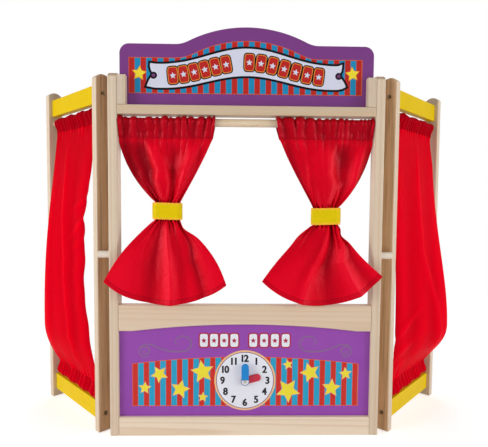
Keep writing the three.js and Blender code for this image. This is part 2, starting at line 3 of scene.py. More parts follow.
import bmesh
import bpy
import numpy as np
from mathutils import Matrix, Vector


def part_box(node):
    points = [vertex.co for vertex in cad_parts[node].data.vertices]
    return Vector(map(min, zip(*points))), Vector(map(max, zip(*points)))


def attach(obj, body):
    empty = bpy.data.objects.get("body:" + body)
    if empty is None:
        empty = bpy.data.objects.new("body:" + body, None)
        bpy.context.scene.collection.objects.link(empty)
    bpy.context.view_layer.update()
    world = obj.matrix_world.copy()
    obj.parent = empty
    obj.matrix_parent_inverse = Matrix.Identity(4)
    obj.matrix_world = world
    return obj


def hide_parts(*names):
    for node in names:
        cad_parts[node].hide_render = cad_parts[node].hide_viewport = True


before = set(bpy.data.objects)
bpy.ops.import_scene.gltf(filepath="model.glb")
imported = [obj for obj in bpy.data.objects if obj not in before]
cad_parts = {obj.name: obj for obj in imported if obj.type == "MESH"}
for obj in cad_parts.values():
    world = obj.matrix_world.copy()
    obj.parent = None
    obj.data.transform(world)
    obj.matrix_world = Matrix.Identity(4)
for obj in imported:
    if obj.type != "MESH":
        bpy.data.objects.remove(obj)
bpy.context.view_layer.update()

# The stage front: two posts, three rails and the four cleats of the sign. They are planed pine boards with
# eased edges, glued together and wiped with a thin satin lacquer. The solids have their shape already, so
# they stay and get the wood.
MM = 0.001


def rgb(code):
    """A colour written as sRGB hex digits, as the linear numbers that a shader takes."""
    value = np.array([int(code[i : i + 2], 16) for i in (1, 3, 5)]) / 255
    linear = np.where(value <= 0.04045, value / 12.92, ((value + 0.055) / 1.055) ** 2.4)
    return (*linear.tolist(), 1)


def node(finish, kind, inputs, **options):
    """Adds a node to a finish. An input is given a value, or another node's output to read."""
    made = finish.node_tree.nodes.new("ShaderNode" + kind)
    for key, value in options.items():
        setattr(made, key, value)
    for key, value in inputs.items():
        if isinstance(value, bpy.types.NodeSocket):
            finish.node_tree.links.new(value, made.inputs[key])
        else:
            made.inputs[key].default_value = value
    return made


def ramp(finish, value, stops):
    """The colour that a value between 0 and 1 picks from stops of (place, hex colour)."""
    made = node(finish, "ValToRGB", {"Fac": value})
    marks = made.color_ramp.elements
    while len(marks) < len(stops):
        marks.new(0.5)
    for mark, (place, colour) in zip(marks, stops):
        mark.position = place
        mark.color = rgb(colour)
    return made.outputs["Color"]


def tint(finish, share, colour, over):
    """One colour laid over another by a share. The share is a number or an output to read, and each
    colour is hex digits or an output."""
    colours = {6: over, 7: colour}
    colours = {key: rgb(ink) if isinstance(ink, str) else ink for key, ink in colours.items()}
    return node(finish, "Mix", {0: share, **colours}, data_type="RGBA").outputs[2]


def object_place(finish):
    """The object's own coordinates, in metres."""
    return node(finish, "TexCoord", {}).outputs["Object"]


def mapped(finish, place, **inputs):
    """A place turned, moved and stretched."""
    return node(finish, "Mapping", {"Vector": place, **inputs}).outputs[0]


def noise(finish, place, scale, detail, **inputs):
    """Noise between 0 and 1 that changes about scale times in a metre."""
    inputs = {"Vector": place, "Scale": scale, "Detail": detail, **inputs}
    return node(finish, "TexNoise", inputs).outputs["Fac"]


def part_of(finish, vector, axis):
    """One coordinate of a vector."""
    return node(finish, "SeparateXYZ", {"Vector": vector}).outputs[axis]


def calc(finish, operation, *values):
    """The result of a calculation with numbers."""
    return node(finish, "Math", dict(enumerate(values)), operation=operation).outputs[0]


def vector_calc(finish, operation, *values, result="Vector"):
    """The result of a calculation with vectors."""
    return node(finish, "VectorMath", dict(enumerate(values)), operation=operation).outputs[result]


def between(finish, value, start, end, most=1.0):
    """A value's way from start to end as a share from 0 to most, and level outside."""
    inputs = {"Value": value, "From Min": start, "From Max": end, "To Max": most}
    return node(finish, "MapRange", inputs).outputs["Result"]


def new_finish(name, roughness, **sockets):
    """An empty finish and its shader, with the values that are the same all over the surface."""
    finish = bpy.data.materials.new(name)
    finish.use_nodes = True
    shader = finish.node_tree.nodes["Principled BSDF"]
    shader.inputs["Roughness"].default_value = roughness
    for key, value in sockets.items():
        shader.inputs[key.replace("_", " ")].default_value = value
    return finish, shader


def wear(finish, shader, colour, roughness, height=None, depth=0.0):
    """Links a surface's colour and roughness to the shader, and its relief of a depth in metres, if any."""
    join = finish.node_tree.links.new
    join(colour, shader.inputs["Base Color"])
    join(roughness, shader.inputs["Roughness"])
    if height is not None:
        bump = node(finish, "Bump", {"Height": height, "Strength": 1, "Distance": depth})
        join(bump.outputs["Normal"], shader.inputs["Normal"])


def spread(finish, value, low, high):
    """A value between 0 and 1 as one between low and high."""
    return node(finish, "MapRange", {"Value": value, "To Min": low, "To Max": high}).outputs["Result"]


ALONG_Z = (0, 0, 0)
ALONG_X = (0, math.pi / 2, 0)
PALE = "#dfd1be"
# Tones of the stile face beside a post: partly heartwood, partly painted shade of the groove.
HEARTWOOD_AND_GROOVE_SHADE = ("#c3976a", "#b5865a", "#8f6237")


def pine(name, turn, pith, pale=PALE, line="#c79d74", ring=4.6 * MM, heartwood_and_shade_face=None, brown=HEARTWOOD_AND_GROOVE_SHADE):
    """Planed pine. Growth rings are circles about the pith, one for each ring of width, drawn out along
    the grain and bent by slow noise. The fibre is fine noise stretched along the grain. The face that looks
    the given way, into the narrow groove beside a post, is darker and warmer, streaked in three tones from
    the palest to the darkest: partly heartwood and partly painted shade of the groove."""
    finish, shader = new_finish(name, 0.5, Coat_Weight=0.05, Coat_Roughness=0.35, Specular_IOR_Level=0.35)
    facing = node(finish, "TexCoord", {}).outputs["Normal"]
    board = mapped(finish, object_place(finish), Rotation=turn, Location=pith)
    drawn = mapped(finish, board, Scale=(1, 1, 0.06))
    bent = {"Distortion": 14, "Detail": 2, "Detail Scale": 0.16, "Detail Roughness": 0.45}
    wave = {"Vector": drawn, "Scale": math.pi / (10 * ring), **bent}
    kind = {"wave_type": "RINGS", "rings_direction": "Z", "wave_profile": "SAW"}
    rings = node(finish, "TexWave", wave, **kind).outputs["Fac"]
    fibre = noise(finish, mapped(finish, board, Scale=(1, 1, 0.02)), 1500, 3)
    cloud = noise(finish, drawn, 28, 2)
    streaks = ramp(finish, rings, [(0, pale), (0.5, pale), (0.9, line), (1, pale)])
    softened = tint(finish, 0.55, pale, streaks)
    clouded = tint(finish, spread(finish, cloud, 0.0, 0.5), "#dec4a2", softened)
    colour = tint(finish, spread(finish, fibre, 0.0, 0.35), "#cfb08c", clouded)
    # The face that looks into the groove beside a post is darker and warmer: partly heartwood, partly painted
    # shade.
    if heartwood_and_shade_face is not None:
        toward = vector_calc(finish, "DOT_PRODUCT", facing, heartwood_and_shade_face, result="Value")
        streak = noise(finish, mapped(finish, board, Scale=(1, 1, 0.03)), 230, 4)
        stops = zip((0.3, 0.52, 0.62, 0.72), (*brown, brown[1]))
        browns = ramp(finish, streak, list(stops))
        colour = tint(finish, between(finish, toward, 0.8, 0.97, 0.8), browns, colour)
    if turn == ALONG_Z:
        end_grain = between(finish, part_of(finish, facing, "Z"), 0.25, 0.8, 0.6)
        colour = tint(finish, end_grain, "#a57c54", colour)
    relief = calc(finish, "ADD", fibre, rings)
    wear(finish, shader, colour, spread(finish, fibre, 0.42, 0.62), relief, 0.05 * MM)
    return finish


def dress(name, finish):
    """Gives a CAD node that keeps its shape its finish."""
    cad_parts[name].material_slots[0].material = finish


# The cleats' pale tone is darker than the posts': painted shade.
PALE_CLEAT = "#d0c4b6"
piths = {
    "post_left": (0.245, 0.03, 0),
    "post_right": (-0.19, 0.05, 0.4),
    "sign_cleat_front_left": (0.18, 0.03, 0.2),
    "sign_cleat_front_right": (-0.22, 0.02, 0.5),
    "sign_cleat_back_left": (0.18, 0.06, 0.7),
    "sign_cleat_back_right": (-0.22, 0.05, 0.3),
}
for name, pith in piths.items():
    dress(name, pine("pine_" + name, ALONG_Z, pith, PALE_CLEAT if "cleat" in name else PALE))
# Each rail's pale tone: darker on the top rail and lighter on the bottom rail, as painted shade above and
# painted light from below.
rails = {"top_rail": (0.2, "#c9b69e"), "stage_rail": (0.95, "#e5d2bc"), "bottom_rail": (1.4, "#fbecd8")}
for name, (shift, pale) in rails.items():
    low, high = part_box(name)
    before_face = (0.012 - (low.z + high.z) / 2, 0.045 - low.y, shift)
    dress(name, pine("pine_" + name, ALONG_X, before_face, pale, "#d2ae86", ring=3.6 * MM))

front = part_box("post_left")[0].y
half_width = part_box("post_right")[1].x

# The lower panel is a 5 mm board held in grooves, sprayed with a smooth purple lacquer that shows a faint
# orange peel. The picture is screen-printed on it in flat inks, one thin layer on the other.
INK = 0.04 * MM
INK_STEP = 0.05 * MM
panel_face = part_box("lower_panel")[0].y


def lacquer(name, colour, deep, roughness=0.34, coat=0.08, shine=0.3):
    """Sprayed lacquer: its colour drifts slightly to a deeper one, over the fine ripple of orange peel."""
    coating = {"Coat_Weight": coat, "Coat_Roughness": 0.15}
    finish, shader = new_finish(name, roughness, Specular_IOR_Level=shine, **coating)
    place = object_place(finish)
    drift = noise(finish, place, 30, 3)
    peel = noise(finish, place, 700, 2)
    specks = noise(finish, place, 2600, 1)
    drifted = tint(finish, spread(finish, drift, 0.1, 0.6), deep, colour)
    mottled = tint(finish, spread(finish, specks, 0.0, 0.16), deep, drifted)
    wear(finish, shader, mottled, spread(finish, peel, roughness - 0.06, roughness + 0.08), peel, 0.03 * MM)
    return finish


def as_mesh(curve):
    """A flat curve or a text as a mesh in the X-Y plane."""
    carrier = bpy.data.objects.new("carrier", curve)
    bpy.context.scene.collection.objects.link(carrier)
    bpy.context.view_layer.update()
    mesh = bpy.data.meshes.new_from_object(carrier.evaluated_get(bpy.context.evaluated_depsgraph_get()))
    bpy.data.objects.remove(carrier)
    return mesh


def filled(*outlines):
    """The area inside closed outlines in millimetres, as a plate as thick as a layer of ink."""
    curve = bpy.data.curves.new("outline", "CURVE")
    curve.dimensions = "2D"
    curve.fill_mode = "BOTH"
    curve.extrude = INK / 2
    for outline in outlines:
        points = np.zeros((len(outline), 4))
        points[:, :2] = np.asarray(outline) * MM
        line = curve.splines.new("POLY")
        line.points.add(len(points) - 1)
        line.points.foreach_set("co", points.ravel())
        line.use_cyclic_u = True
    return as_mesh(curve)


def add_piece(name, mesh, body):
    """Puts a mesh into the scene as a visual piece that rides on a body."""
    piece = bpy.data.objects.new(name, mesh)
    bpy.context.scene.collection.objects.link(piece)
    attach(piece, body)
    return piece


def printed(name, plane, body, inks, layers):
    """A print as one piece. Each layer is a level, an ink and its plates in X and Z; a level lies one
    step nearer the viewer than the level before it."""
    whole = bmesh.new()
    mesh = bpy.data.meshes.new(name)
    for level, ink, plates in layers:
        name_of_ink = inks[ink].name
        if name_of_ink not in mesh.materials:
            mesh.materials.append(inks[ink])
        lift = plane - (level + 0.5) * INK_STEP
        place = Matrix.Translation((0, lift, 0)) @ Matrix.Rotation(math.pi / 2, 4, "X")
        for plate in plates:
            plate.transform(place)
            slots = np.full(len(plate.polygons), mesh.materials.find(name_of_ink), np.int32)
            plate.polygons.foreach_set("material_index", slots)
            whole.from_mesh(plate)
            bpy.data.meshes.remove(plate)
    bmesh.ops.remove_doubles(whole, verts=whole.verts, dist=INK / 10)
    bmesh.ops.recalc_face_normals(whole, faces=whole.faces)
    whole.to_mesh(mesh)
    whole.free()
    add_piece(name, mesh, body)


def grow(outline, amount):
    """A closed outline moved outwards, each corner along the bisector of its two sides' normals."""
    points = np.asarray(outline, float)
    after = np.roll(points, -1, 0) - points
    after /= np.linalg.norm(after, axis=1)[:, None]
    before = np.roll(after, 1, 0)
    turned = 0.5 * np.sum(points[:, 0] * np.roll(points[:, 1], -1) - np.roll(points[:, 0], -1) * points[:, 1])
    normals = [np.sign(turned) * np.c_[way[:, 1], -way[:, 0]] for way in (before, after)]
    stretch = np.maximum(1 + np.sum(normals[0] * normals[1], 1), 0.35)
    return points + amount * (normals[0] + normals[1]) / stretch[:, None]


def plates(outlines, wider=0.0):
    """A plate for each outline, grown by the same amount."""
    return [filled(grow(outline, wider) if wider else outline) for outline in outlines]


def circle(x, z, radius, sides=72):
    """Points round a circle."""
    angle = np.linspace(0, 2 * np.pi, sides, endpoint=False)
    return np.c_[x + radius * np.cos(angle), z + radius * np.sin(angle)]


def star(x, z, radius, tip=90.0, waist=0.42):
    """A five-pointed star: ten corners, every second one at a share of the radius."""
    angle = np.radians(tip) + np.arange(10) * np.pi / 5
    reach = radius * np.where(np.arange(10) % 2, waist, 1)
    return np.c_[x + reach * np.cos(angle), z + reach * np.sin(angle)]


def ticket(x, z, half_wide, half_high, tilt=0.0):
    """A rounded upright block: |cos| and |sin| of the angle, each to the power 0.36."""
    angle = np.linspace(0, 2 * np.pi, 64, endpoint=False) + np.pi / 64
    across = np.sign(np.cos(angle)) * np.abs(np.cos(angle)) ** 0.36 * half_wide
    along = np.sign(np.sin(angle)) * np.abs(np.sin(angle)) ** 0.36 * half_high
    lean = np.radians(tilt)
    return np.c_[
        x + across * np.cos(lean) - along * np.sin(lean),
        z + across * np.sin(lean) + along * np.cos(lean),
    ]


def under_edge(x0, x1, low, edge, steps=24):
    """The area from a level line up to an edge that is a function of x."""
    x = np.linspace(x1, x0, steps)
    return np.vstack([[(x0, low), (x1, low)], np.c_[x, edge(x)]])


def stripes(x0, x1, first, period, wide, low, edge, widen=0.0):
    """Upright stripes over a field, each cut off by the field's ends and its upper edge."""
    starts = first + period * np.arange(math.ceil((x1 - first) / period))
    pairs = [(max(x0, s - widen), min(x1, s + wide + widen)) for s in starts]
    return [under_edge(a, b, low, edge, 4) for a, b in pairs if b - a > 0.5]


def stroke(points, wide):
    """A drawn line as a closed outline: a smooth curve through the points, half as wide at its ends."""
    way = np.asarray(points, float)
    before = np.vstack([2 * way[0] - way[1], way, 2 * way[-1] - way[-2]])
    t = np.linspace(0, 1, 9)[:-1, None]
    runs = [
        0.5 * (2 * b + (c - a) * t + (2 * a - 5 * b + 4 * c - d) * t**2 + (3 * b - a - 3 * c + d) * t**3)
        for a, b, c, d in zip(before[:-3], before[1:-2], before[2:-1], before[3:])
    ]
    line = np.vstack([*runs, way[-1:]])
    ahead = np.gradient(line, axis=0)
    ahead /= np.linalg.norm(ahead, axis=1)[:, None]
    half = wide / 2 * (0.5 + 0.5 * np.sin(np.linspace(0, np.pi, len(line))) ** 0.5)
    aside = np.c_[-ahead[:, 1], ahead[:, 0]] * half[:, None]
    return np.vstack([line + aside, (line - aside)[::-1]])


dress("lower_panel", lacquer("panel_purple", "#9c4cb4", "#8a3ca4"))
panel_colours = {
    "orange": ("#ea6428", "#de541e"),
    "blue": ("#1fa4d4", "#1c9cb8"),
    "red": ("#d42a1c", "#c02016"),
    "yellow": ("#f6e838", "#eedc30"),
    "cream": ("#f8cf9c", "#f0b070"),
    "white": ("#f1f3fb", "#e6e9f3"),
    "black": ("#14121e", "#0a0a10"),
    "plum": ("#6c4a86", "#5e3c78"),
    "mauve": ("#8c6892", "#806086"),
    "crimson": ("#b41e48", "#a01840"),
}
panel_inks = {ink: lacquer(f"panel_{ink}_ink", *pair) for ink, pair in panel_colours.items()}
field = {
    "left": -183.9, "right": 187.0, "low": 47.0, "end": 118.5, "rise": 11.0, "radius": 1486.0, "edge": 1.1,
}
dial = {
    "height": 90.0, "rim": 50.2, "line": 47.3, "face": 46.2, "numerals": 36.8, "size": 16.2, "narrow": 0.9,
    "weight": 0.5, "shift": 0.35,
}


def field_edge(inset):
    """The printed field's upper edge: an arc that rises towards the middle."""

    def height(x):
        return field["end"] + field["rise"] - x**2 / (2 * field["radius"]) - inset

    return height


inner = field["edge"]
field_span = (field["left"] + inner, field["right"] - inner)
star_tips = [
    ((-163.5, 77.5), (-162.8, 86.5)),
    ((-139.7, 100.4), (-146.4, 111.5)),
    ((-105.8, 75.3), (-102.4, 89.3)),
    ((-69.7, 104.5), (-72.5, 122.0)),
    ((-68.9, 62.0), (-68.3, 69.0)),
    ((70.3, 116.4), (68.8, 123.3)),
    ((106.8, 103.1), (101.8, 117.7)),
    ((70.8, 73.0), (59.0, 87.7)),
    ((142.4, 77.1), (143.5, 91.2)),
    ((165.4, 101.0), (164.5, 110.1)),
]
panel_stars = []
for (x, z), (tip_x, tip_z) in star_tips:
    across, up = tip_x - x, tip_z - z
    panel_stars.append(star(x, z, math.hypot(across, up), math.degrees(math.atan2(up, across)), 0.48))
scroll = [
    (-163.3, 139.8), (-165.6, 137.2), (-163.2, 133.6), (-158.4, 134.3), (-155.8, 138.6), (-158.6, 144.2),
    (-165.6, 146.2), (-171.6, 141.6), (-171.4, 133.6), (-164.5, 128.8), (-157.0, 129.4),
]
wave_line = [
    (-171.6, 141.0), (-168.0, 147.4), (-160.0, 149.9), (-151.7, 148.8), (-143.6, 144.6), (-132.8, 141.2),
    (-122.0, 138.6), (-108.5, 137.8), (-96.0, 139.4), (-88.6, 146.0), (-88.4, 154.6), (-94.6, 161.8),
    (-103.0, 163.3), (-111.0, 160.4), (-114.2, 154.0), (-110.6, 148.6),
]


def both_sides(line, wide):
    """A stroke left of the dial and its mirror image right of it."""
    return plates(stroke(points, wide) for points in (line, [(1.6 - x, z) for x, z in line]))


title_places = [*(-67.5 + 16.5 * np.arange(4)), *(13.0 + 17.7 * np.arange(4))]
title_height = 156.5
title = [ticket(x, title_height, 6.4, 10.6) for x in title_places]
title_stars = [star(x, title_height - 0.4, 4.8, waist=0.45) for x in title_places]


def numeral(number, shift):
    """A clock numeral as a heavy, narrow plate, centred on its hour and moved aside by a shift in
    millimetres. The nine is the six turned round."""
    text = bpy.data.curves.new("numeral", "FONT")
    text.body = "6" if number == 9 else str(number)
    text.size = dial["size"] * MM
    text.offset = dial["weight"] * MM
    text.extrude = INK / 2
    text.space_character = 0.88
    plate = as_mesh(text)
    corners = np.zeros(len(plate.vertices) * 3)
    plate.vertices.foreach_get("co", corners)
    corners = corners.reshape(-1, 3)
    middle = (corners.min(0) + corners.max(0)) / 2
    hour = math.radians(90 - 30 * number)
    x = (dial["numerals"] * math.cos(hour) + shift) * MM
    z = (dial["height"] + dial["numerals"] * math.sin(hour)) * MM
    squeeze = Matrix.Diagonal((-dial["narrow"], -1, 1, 1) if number == 9 else (dial["narrow"], 1, 1, 1))
    plate.transform(Matrix.Translation((x, z, 0)) @ squeeze @ Matrix.Translation((-middle[0], -middle[1], 0)))
    return plate


whole_field = under_edge(field["left"], field["right"], field["low"], field_edge(0), 40)
inner_field = under_edge(*field_span, field["low"] + inner, field_edge(inner), 40)
stripe = {"first": -182.7, "period": 18.0, "wide": 7.7}


def field_stripes(widen):
    """The field's stripes, each widened at both sides."""
    return filled(*stripes(*field_span, *stripe.values(), field["low"] + inner, field_edge(inner), widen))


centre = (0, dial["height"])
panel_layers = {
    "panel_print": [
        (0, "orange", plates([whole_field])),
        (1, "blue", plates([inner_field])),
        (2, "orange", [field_stripes(0.5)]),
        (3, "red", [field_stripes(0)]),
        (4, "cream", plates(panel_stars, 0.9)),
        (4, "cream", plates([circle(*centre, dial["rim"])])),
        (5, "yellow", plates(panel_stars)),
        (5, "plum", plates([circle(*centre, dial["line"])])),
        (6, "white", plates([circle(*centre, dial["face"])])),
        (7, "black", [numeral(n, -dial["shift"]) for n in range(1, 13)]),
        (8, "black", [numeral(n, dial["shift"]) for n in range(1, 13)]),
    ],
    "panel_scrolls": [
        (0, "mauve", both_sides(scroll, 2.2)),
        (1, "mauve", both_sides(wave_line, 2.4)),
    ],
    "panel_title": [
        (0, "crimson", plates(title, 2.3)),
        (1, "white", plates(title)),
        (2, "crimson", plates(title_stars)),
    ],
}
for name, layers in panel_layers.items():
    printed(name, panel_face, "front_frame", panel_inks, layers)

# The clock's hands: moulded plastic. The red hour hand lies under the white hub, and the blue minute hand is
# moulded round it. A steel pin holds them to the panel, with a washer behind.


def moulded(name, colour, deep, rim_shade=None):
    """Satin moulded plastic with a fine grain. A radius and colour, when given, lay a ring of painted shade
    in that colour outside that radius from the hands' axis."""
    finish, shader = new_finish(name, 0.36, Specular_IOR_Level=0.4)
    place = object_place(finish)
    cloud = noise(finish, place, 120, 2)
    grain = noise(finish, place, 3200, 1)
    plastic = tint(finish, spread(finish, cloud, 0.0, 0.5), deep, colour)
    shaded = tint(finish, spread(finish, grain, 0.0, 0.12), deep, plastic)
    # Painted shade: a ring of another colour at the edge.
    if rim_shade is not None:
        radius, ring = rim_shade
        centred = mapped(finish, place, Location=(0, 0, -dial["height"] * MM))
        seen_flat = vector_calc(finish, "MULTIPLY", centred, (1, 0, 1))
        away = vector_calc(finish, "LENGTH", seen_flat, result="Value")
        shaded = tint(finish, between(finish, away, radius, radius + 0.4 * MM), ring, shaded)
    wear(finish, shader, shaded, spread(finish, grain, 0.3, 0.42), grain, 0.01 * MM)
    return finish


hub_low, hub_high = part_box("clock_hub")
# The hub's outer 1.2 mm is painted dark blue: painted shade at its edge.
hub_rim = (hub_high.x - hub_low.x) / 2 - 1.2 * MM
clock_parts = {
    "clock_hour_hand": ("red_plastic_hand", "#d02a44", "#b81e38"),
    "clock_minute_hand": ("blue_plastic_hand", "#008ad6", "#0078c2"),
    "clock_hub": ("white_plastic_hub", "#eceef2", "#d8dce4", (hub_rim, "#2c6a9c")),
    "clock_pin": ("pin_head", "#cfcabc", "#b4ae9e"),
    "clock_pin_washer": ("washer_nylon", "#dcdad2", "#c6c4ba"),
}
for name, plastic in clock_parts.items():
    dress(name, moulded(*plastic))

# The sign: a 6 mm board cut to a waved outline, lacquered purple all over and printed on its front with a
# striped field, a forked ribbon and two stars. It stands loose in its slot and lifts out.
sign_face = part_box("sign_panel")[0].y
dress("sign_panel", lacquer("sign_purple", "#7d3986", "#6b2c74"))
sign_colours = {
    "orange": ("#d85a1c", "#c84c14"),
    "blue": ("#0089c4", "#00809c"),
    "red": ("#c01408", "#aa0c04"),
    "yellow": ("#f6e436", "#eed42e"),
    "gold": ("#f0983a", "#e48424"),
    "white": ("#dddff0", "#d0d2e6"),
    "plum": ("#6e3470", "#5e2a60"),
}
sign_inks = {ink: lacquer(f"sign_{ink}_ink", *pair) for ink, pair in sign_colours.items()}
sign_inks["black"] = lacquer("sign_black_ink", "#06050e", "#020206", coat=0.0, shine=0.12)
board_edge = {"shoulder": 631.6, "crown": 659.0, "hollow": 45.0, "reach": 115.0, "bow": 210.03, "lean": 26.8}
sign_field = {"left": -188.4, "right": 184.5, "low": 553.6, "margin": 21.4, "edge": 1.1}
sign_stripe = {"first": -187.2, "period": 18.1, "wide": 8.0}


def sign_edge(inset):
    """The board's upper edge moved inwards: level shoulders, a hollow arc each side, and the crown's arc."""
    lean = math.radians(board_edge["lean"])
    hollow_top = board_edge["shoulder"] + board_edge["hollow"]
    hollow_radius = board_edge["hollow"] + inset
    turn = board_edge["reach"] - hollow_radius * math.sin(lean)

    def height(x):
        away = np.abs(np.asarray(x, float))
        into = np.clip(board_edge["reach"] - away, 0, hollow_radius)
        hollow = hollow_top - np.sqrt(hollow_radius**2 - into**2)
        bow = board_edge["bow"] - inset
        crown = board_edge["crown"] - board_edge["bow"] + np.sqrt(bow**2 - np.minimum(away, bow) ** 2)
        return np.where(away > turn, hollow, crown)

    return height


ribbon = {
    "top": 600.8, "top_rise": 24.6, "top_dip": 1.0, "low": 562.9, "low_rise": 19.8, "low_dip": 0.2,
    "reach": 130.0, "dip_at": 138.0, "dip_width": 14.0, "outline": 3.5,
}


def ribbon_height(x, edge):
    """A ribbon's edge: lifted to a crown by half a cosine wave, with a shallow dip near both ends."""
    share = np.clip(np.abs(x) / ribbon["reach"], 0, 1)
    dip = np.exp(-(((np.abs(x) - ribbon["dip_at"]) / ribbon["dip_width"]) ** 2))
    crown = ribbon[edge + "_rise"] * (1 + np.cos(np.pi * share)) / 2
    return ribbon[edge] + crown - ribbon[edge + "_dip"] * dip


def ribbon_outline():
    """The ribbon: its upper edge from left to right, the forked end, its lower edge back, and the other
    forked end. A round hole lies in each fork."""
    x = np.linspace(-147, 145, 60)
    upper = np.c_[x, ribbon_height(x, "top")]
    lower = np.c_[x, ribbon_height(x, "low")]
    right = [
        (151.6, 602.2), (151.4, 597.4), (150.4, 591.8), (148.0, 587.4), (143.4, 584.1), (150.4, 580.6),
        (155.0, 574.4), (158.2, 567.6), (152.6, 564.5),
    ]
    left = [
        (-160.0, 565.0), (-156.2, 574.3), (-152.4, 579.9), (-146.0, 582.1), (-150.0, 585.2), (-153.0, 590.0),
        (-154.6, 596.0), (-154.0, 601.0),
    ]
    return np.vstack([upper, right, lower[::-1], left])


def ribbon_middle(x):
    """The height of the ribbon's middle line at x, and its slope in degrees."""
    near = np.array([x - 1, x, x + 1])
    line = (ribbon_height(near, "top") + ribbon_height(near, "low")) / 2
    return line[1], math.degrees(math.atan2(line[2] - line[0], 2))


figure_places = [*(-118.4 + 16.9 * np.arange(6)), *(3.2 + 18.5 * np.arange(7))]
figures = []
figure_stars = []
for x in figure_places:
    z, lean = ribbon_middle(x)
    figures.append(ticket(x, z, 6.9, 12.4, lean))
    figure_stars.append(star(x, z - 0.4, 5.4, 90 + lean, 0.45))
sign_span = (sign_field["left"] + sign_field["edge"], sign_field["right"] - sign_field["edge"])
sign_low = sign_field["low"] + sign_field["edge"]
sign_inner = sign_edge(sign_field["margin"] + sign_field["edge"])
sign_outer = sign_edge(sign_field["margin"])
sign_whole = under_edge(sign_field["left"], sign_field["right"], sign_field["low"], sign_outer, 90)


def sign_stripes(widen):
    """The sign's stripes, each widened at both sides."""
    return filled(*stripes(*sign_span, *sign_stripe.values(), sign_low, sign_inner, widen))


sign_stars = [star(-171.7, 584.9, 10.6, 84, 0.5), star(168.6, 587.5, 10.6, 96, 0.5)]
holes = [(-149.0, 582.0), (146.4, 584.0)]
sign_layers = [
    (0, "orange", plates([sign_whole])),
    (1, "blue", plates([under_edge(*sign_span, sign_low, sign_inner, 90)])),
    (2, "orange", [sign_stripes(0.45)]),
    (3, "red", [sign_stripes(0)]),
    (4, "black", plates([ribbon_outline()], ribbon["outline"])),
    (4, "gold", plates(sign_stars, 0.9)),
    (5, "white", plates([ribbon_outline()])),
    (5, "yellow", plates(sign_stars)),
    (6, "black", plates(figures, 2.9)),
    (6, "black", plates(circle(*hole, 5.6, 32) for hole in holes)),
    (7, "gold", plates(figures, 1.1)),
    (7, "plum", plates(circle(*hole, 2.9, 32) for hole in holes)),
    (8, "red", plates(figures)),
    (9, "white", plates(figure_stars)),
]
printed("sign_print", sign_face, "sign", sign_inks, sign_layers)

# The dowels: the front curtains' pole in its two blind holes, the two stop pegs glued into the posts, and
# the wings' thin poles. They are turned birch, paler than the pine, with a close straight grain.


def birch(name, turn, pale="#ecdcc2", line="#d9c09c"):
    """Sanded birch dowel: short darker fibres along the grain over a slow drift of colour."""
    finish, shader = new_finish(name, 0.5, Specular_IOR_Level=0.35)
    rod = mapped(finish, object_place(finish), Rotation=turn)
    drawn = mapped(finish, rod, Scale=(1, 1, 0.04))
    fibre = noise(finish, drawn, 900, 4)
    drift = noise(finish, drawn, 60, 1)
    streaks = ramp(finish, fibre, [(0.3, pale), (0.72, line)])
    colour = tint(finish, spread(finish, drift, 0, 0.4), "#e0c8a4", streaks)
    wear(finish, shader, colour, spread(finish, fibre, 0.45, 0.6), fibre, 0.03 * MM)
    return finish


dress("curtain_pole", birch("birch_pole", ALONG_X))
peg_finish = birch("birch_peg", ALONG_X, "#f6efe6", "#e6d6c2")
for name in ("stop_peg_left", "stop_peg_right"):
    dress(name, peg_finish)

# The front curtains: red satin cut as one strip each, with a rod pocket sewn across its top, side hems and
# a bottom hem. The pocket is gathered on the pole, the cloth is squeezed into a pleated waist by its band,
# and the skirt fans out below it. The shapes are computed: a centre surface and the thin cloth round it.
CLOTH = 0.45
SEWN = 0.4 * CLOTH  # how far before the cloth's middle a pocket's face is sewn down
MIDDLE_Y = 12.7
pole_low, pole_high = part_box("curtain_pole")
pole = {"z": (pole_low.z + pole_high.z) / 2 / MM, "radius": (pole_high.z - pole_low.z) / 2 / MM}


